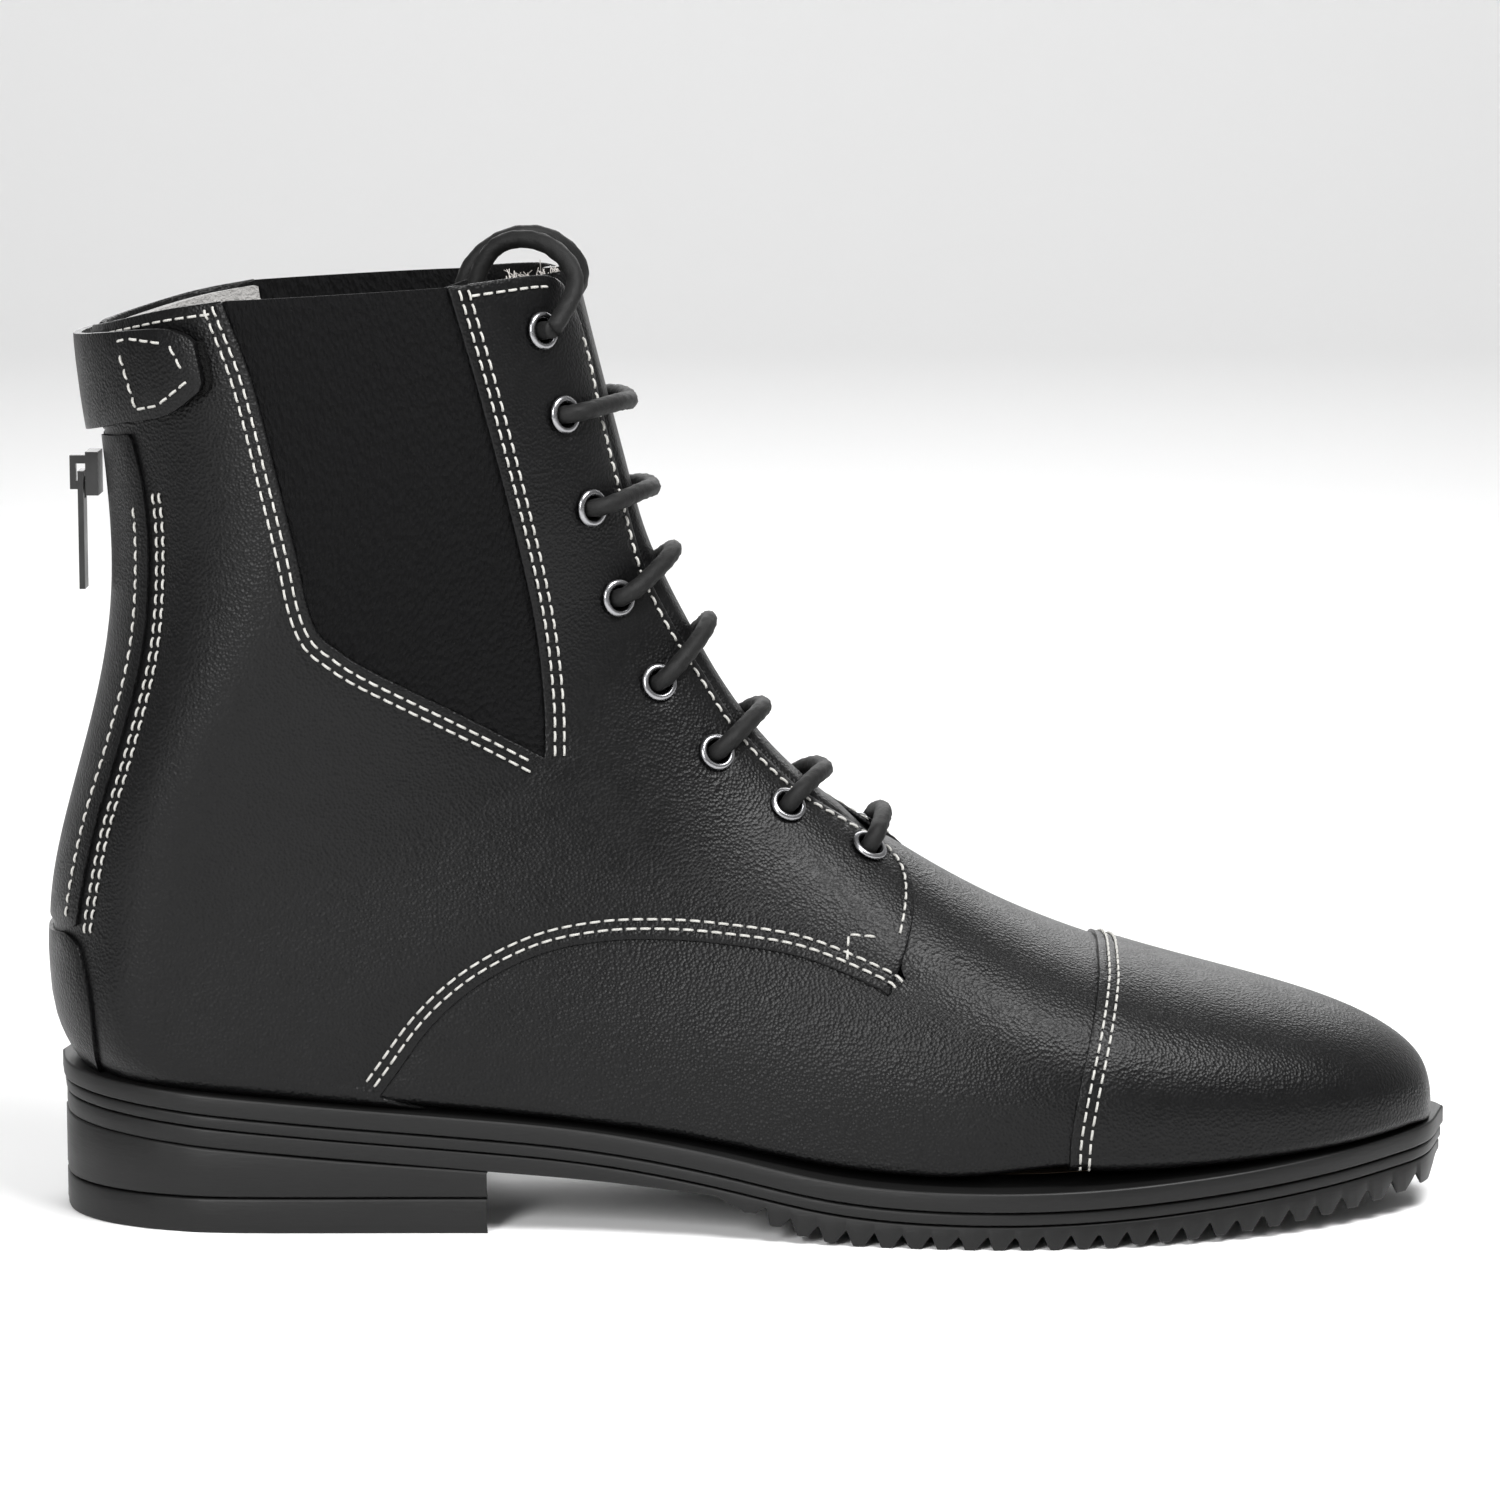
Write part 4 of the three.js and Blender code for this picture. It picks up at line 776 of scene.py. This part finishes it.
# ---- eyelets ----
PROFILE = [(2.45, -2.6), (2.5, 0.9), (2.62, 1.2), (2.9, 1.38), (3.3, 1.36), (3.7, 1.15), (3.9, 0.8),
           (3.85, 0.55), (2.9, 0.5), (2.85, -2.6)]
SEGMENTS = 36
for side, side_name in ((1, "lateral"), (-1, "medial")):
    for number, place in enumerate(eyelet_places):
        place = place if side == 1 else place * [1, -1]
        point = surface(*place)
        up = normal(*place)
        across = np.cross(up, [0, 1, 0.01])
        across /= np.linalg.norm(across)
        other = np.cross(up, across)
        t = np.arange(SEGMENTS) / SEGMENTS * 2 * PI
        ring = np.cos(t)[:, None] * across + np.sin(t)[:, None] * other
        verts = np.vstack([point + r * ring + h * up for r, h in PROFILE])
        count = len(PROFILE)
        faces = [(i * SEGMENTS + j, i * SEGMENTS + (j + 1) % SEGMENTS,
                  (i + 1) % count * SEGMENTS + (j + 1) % SEGMENTS, (i + 1) % count * SEGMENTS + j)
                 for i in range(count) for j in range(SEGMENTS)]
        ring_object = new_object(f"eyelet_ring_{side_name}_{number + 1}", verts, faces, eyelet_steel)
        settle(ring_object, "boot", [f"eyelet_{side_name}_{number + 1}"])

# ---- lace: the held run and the two free ends follow the same route as the solid part ----
LACE_RADIUS = 1.85
OVER, UNDER, CLIMB_BACK = 3.6, 4.8, 0.22
outer_eyelets = [np.array(p) for p in eyelet_places]
inner_eyelets = [p * [1, -1] + [0, 2 * PI] for p in outer_eyelets]


def at_height(place, height):
    return raised(np.array([place]), height)[0]


def bar_path(row):
    middle = np.array([CROSSINGS[row], PI])
    sides = (inner_eyelets[row], outer_eyelets[row])
    steps = ((0, OVER), (0.5, 3.2), (0.8, 3.1))
    going = [at_height(sides[0] + (middle - sides[0]) * t, h) for t, h in steps]
    coming = [at_height(sides[1] + (middle - sides[1]) * t, h) for t, h in steps[::-1]]
    return going + [at_height(middle, 3.0)] + coming


held = [at_height(inner_eyelets[0], OVER), at_height(inner_eyelets[0], -UNDER)]
held += [at_height(e + [0, CLIMB_BACK], -UNDER) for e in inner_eyelets[1:7]]
for row in range(7, 0, -1):
    from_inner = row % 2 == 1
    crossing = bar_path(row) if from_inner else bar_path(row)[::-1]
    first = (inner_eyelets if from_inner else outer_eyelets)[row]
    last = (outer_eyelets if from_inner else inner_eyelets)[row]
    held += [at_height(first, -UNDER)] + crossing + [at_height(last, -UNDER)]
held += [at_height(outer_eyelets[0], -UNDER), at_height(outer_eyelets[0], OVER)]


def rounded_path(points, step=0.6, passes=2):
    """The path with its turns rounded by corner cutting, then evenly spaced."""
    p = np.asarray(points, float)
    for _ in range(passes):
        low = p[:-1] * 0.75 + p[1:] * 0.25
        high = p[:-1] * 0.25 + p[1:] * 0.75
        cut = np.empty((2 * len(low), 3))
        cut[0::2], cut[1::2] = low, high
        p = np.vstack([p[:1], cut, p[-1:]])
    return resample(p, step)


tube_object("lace_held", rounded_path(held), LACE_RADIUS * 0.96, braid, ["lace"], 14, 0.10)
AGLET_TOP, AGLET_LENGTH = 78, 20
for side, side_name, start_place, hang_x in ((-1, "lateral", outer_eyelets[0], 54),
                                             (1, "medial", inner_eyelets[0], 51)):
    start = at_height(start_place, OVER)
    route = np.array([[76.4, 17.5, 192], [74.2, 14, 197.6], [68, 11, 201.6], [60, 8.5, 201],
                      [hang_x + 1.6, 8, 195]] + [[hang_x, 8, z] for z in (186, 170, 150, 130, 110, 92,
                                                                          AGLET_TOP)])
    route = route * [1, side, 1]
    points = np.vstack([[start], route])
    path = rounded_path(points, 0.7)
    free = tube_object(f"lace_free_{side_name}", path, LACE_RADIUS * 0.96, braid,
                       [f"lace_end_{side_name}"], 14, 0.10)
    aglet_path = np.array([[hang_x, 8 * side, AGLET_TOP + 1.0 - i] for i in np.arange(0, AGLET_LENGTH, 1.0)])
    aglet = tube_object(f"aglet_cap_{side_name}", aglet_path, 1.5, black_metal, [f"aglet_{side_name}"], 16)
    length = np.linalg.norm(np.diff(path, axis=0), axis=1).sum() / 1000

# ---- sole unit: slices along the sole, each with rounded edges ----
SOLE_LENGTH = 290
GAP = 0.3
WELT_THICK, MIDSOLE_THICK, HEEL_SOLE_THICK, TOP_LIFT = 4.0, 2.5, 3.7, 7.2
HEEL_FRONT, HEEL_SLANT = 54.5, 2.5
TOOTH_PITCH, TOOTH_DEPTH, TOOTH_FLAT = 5.7, 3.0, 1.1
outer_line = smooth_line(SOLE_OUTER, 0.4)
inner_line = smooth_line(SOLE_INNER, 0.4)
even = SOLE_LENGTH * (1 - np.cos(np.linspace(0, PI, 420))) / 2


def sole_piece(name, look, nodes, inset, low, high, along=even, round_edge=0.5, slant=0.0):
    levels = [(1, high, 0), (0.3, high, -0.3), (0, high, -1), (0, low, 1), (0.3, low, 0.3), (1, low, 0)]
    rows = []
    for draw_in, height, lift in levels:
        d = inset + draw_in * round_edge
        x = SOLE_BACK + d + along * (SOLE_LENGTH - 2 * d) / SOLE_LENGTH
        narrow = 1 - d / 40
        outer = -narrow * np.interp(along, outer_line[:, 0], outer_line[:, 1])
        inner = narrow * np.interp(along, inner_line[:, 0], inner_line[:, 1])
        z = height(x) + lift * round_edge
        loop = np.vstack([np.stack([x, outer, z], 1), np.stack([x, inner, z], 1)[::-1]])
        loop[:, 0] -= slant / 32 * loop[:, 1] * smoothstep(loop[:, 0], HEEL_FRONT - 30, HEEL_FRONT)
        rows.append(loop)
    n, total = len(along), 2 * len(along)
    faces = [(k * total + j, (k + 1) * total + j, (k + 1) * total + (j + 1) % total,
              k * total + (j + 1) % total) for k in range(len(levels) - 1) for j in range(total)]
    last = (len(levels) - 1) * total
    for i in range(n - 1):
        faces.append((i, i + 1, total - 2 - i, total - 1 - i))
        faces.append((last + i, last + total - 1 - i, last + total - 2 - i, last + i + 1))
    return settle(new_object(name, np.vstack(rows), faces, look), "boot", nodes)


def below_welt(depth):
    return lambda x: welt_top(x) - depth


midsole_low = WELT_THICK + GAP + MIDSOLE_THICK
outsole_top = midsole_low + GAP
heel_sole_low = outsole_top + HEEL_SOLE_THICK
sole_piece("welt_band", rubber, ["welt"], 0, below_welt(WELT_THICK), welt_top)
sole_piece("midsole_band", rubber, ["midsole"], 0.5, below_welt(midsole_low), below_welt(WELT_THICK + GAP))
tips = smooth_line(CLEAT_LINE, 0.3)
tooth_count = round((CLEAT_LINE[-1][0] - CLEAT_LINE[0][0]) / TOOTH_PITCH)
profile = [(-40, 32.1 - heel_sole_low), (57, 23.7 - heel_sole_low), (82, 21.8 - heel_sole_low), (104, 9)]
for i in range(tooth_count):
    tip = tips[int((i + 0.25) / tooth_count * (len(tips) - 1))]
    root = tips[int((i + 0.85) / tooth_count * (len(tips) - 1))]
    ground = max(tip[1], 0)
    profile += [(tip[0] - TOOTH_FLAT, ground), (tip[0] + TOOTH_FLAT, ground),
                (root[0], root[1] + TOOTH_DEPTH)]
profile = np.array(profile + [(262, 12)])
fine = np.unique(np.concatenate([even, np.arange(100, 285, 0.6), profile[4:-1, 0] - SOLE_BACK]))
fine = fine[np.concatenate([[True], np.diff(fine) > 0.02])]
sole_piece("outsole_treads", rubber, ["outsole"], 0.8,
           lambda x: np.minimum(np.interp(x, profile[:, 0], profile[:, 1]), welt_top(x) - outsole_top - 1.4),
           below_welt(outsole_top), fine, 0.35)
heel_run = even[even < HEEL_FRONT - SOLE_BACK]
heel_run = np.append(heel_run, HEEL_FRONT - SOLE_BACK)
sole_piece("heel_stack", rubber, ["heel_block"], 0.6, lambda x: np.full_like(x, TOP_LIFT + GAP),
           below_welt(heel_sole_low + GAP), heel_run, 0.5, HEEL_SLANT)
sole_piece("heel_lift", rubber, ["heel_top_lift"], 0.6, lambda x: np.zeros_like(x),
           lambda x: np.full_like(x, TOP_LIFT), heel_run, 0.5, HEEL_SLANT)

# ---- fur: short curled hairs standing out of the pile at the tongue's top ----
rng = np.random.default_rng(7)
HAIRS = 2200
HAIR_RADIUS = 0.09
hairs = []
for _ in range(HAIRS):
    s = rng.uniform(0.93, 1.012)
    a = PI + rng.uniform(-0.62, 0.62)
    place = np.array([[s, a]])
    start = raised(place, tongue_height(place) - 3.2)[0]
    inward = -normal(place[:, 0], place[:, 1])[0]
    aim = inward * rng.uniform(0.4, 1) + rng.normal(0, 0.5, 3) + [0, 0, 0.4]
    aim /= np.linalg.norm(aim)
    curl = rng.normal(0, 0.8, 3)
    t = np.linspace(0, 1, 5)[:, None]
    length = rng.uniform(2.0, 3.6)
    hairs.append(tube(start + aim * length * t + curl * t ** 2, HAIR_RADIUS, 4))
merged_object("tongue_fur_hairs", hairs, fur_hair)
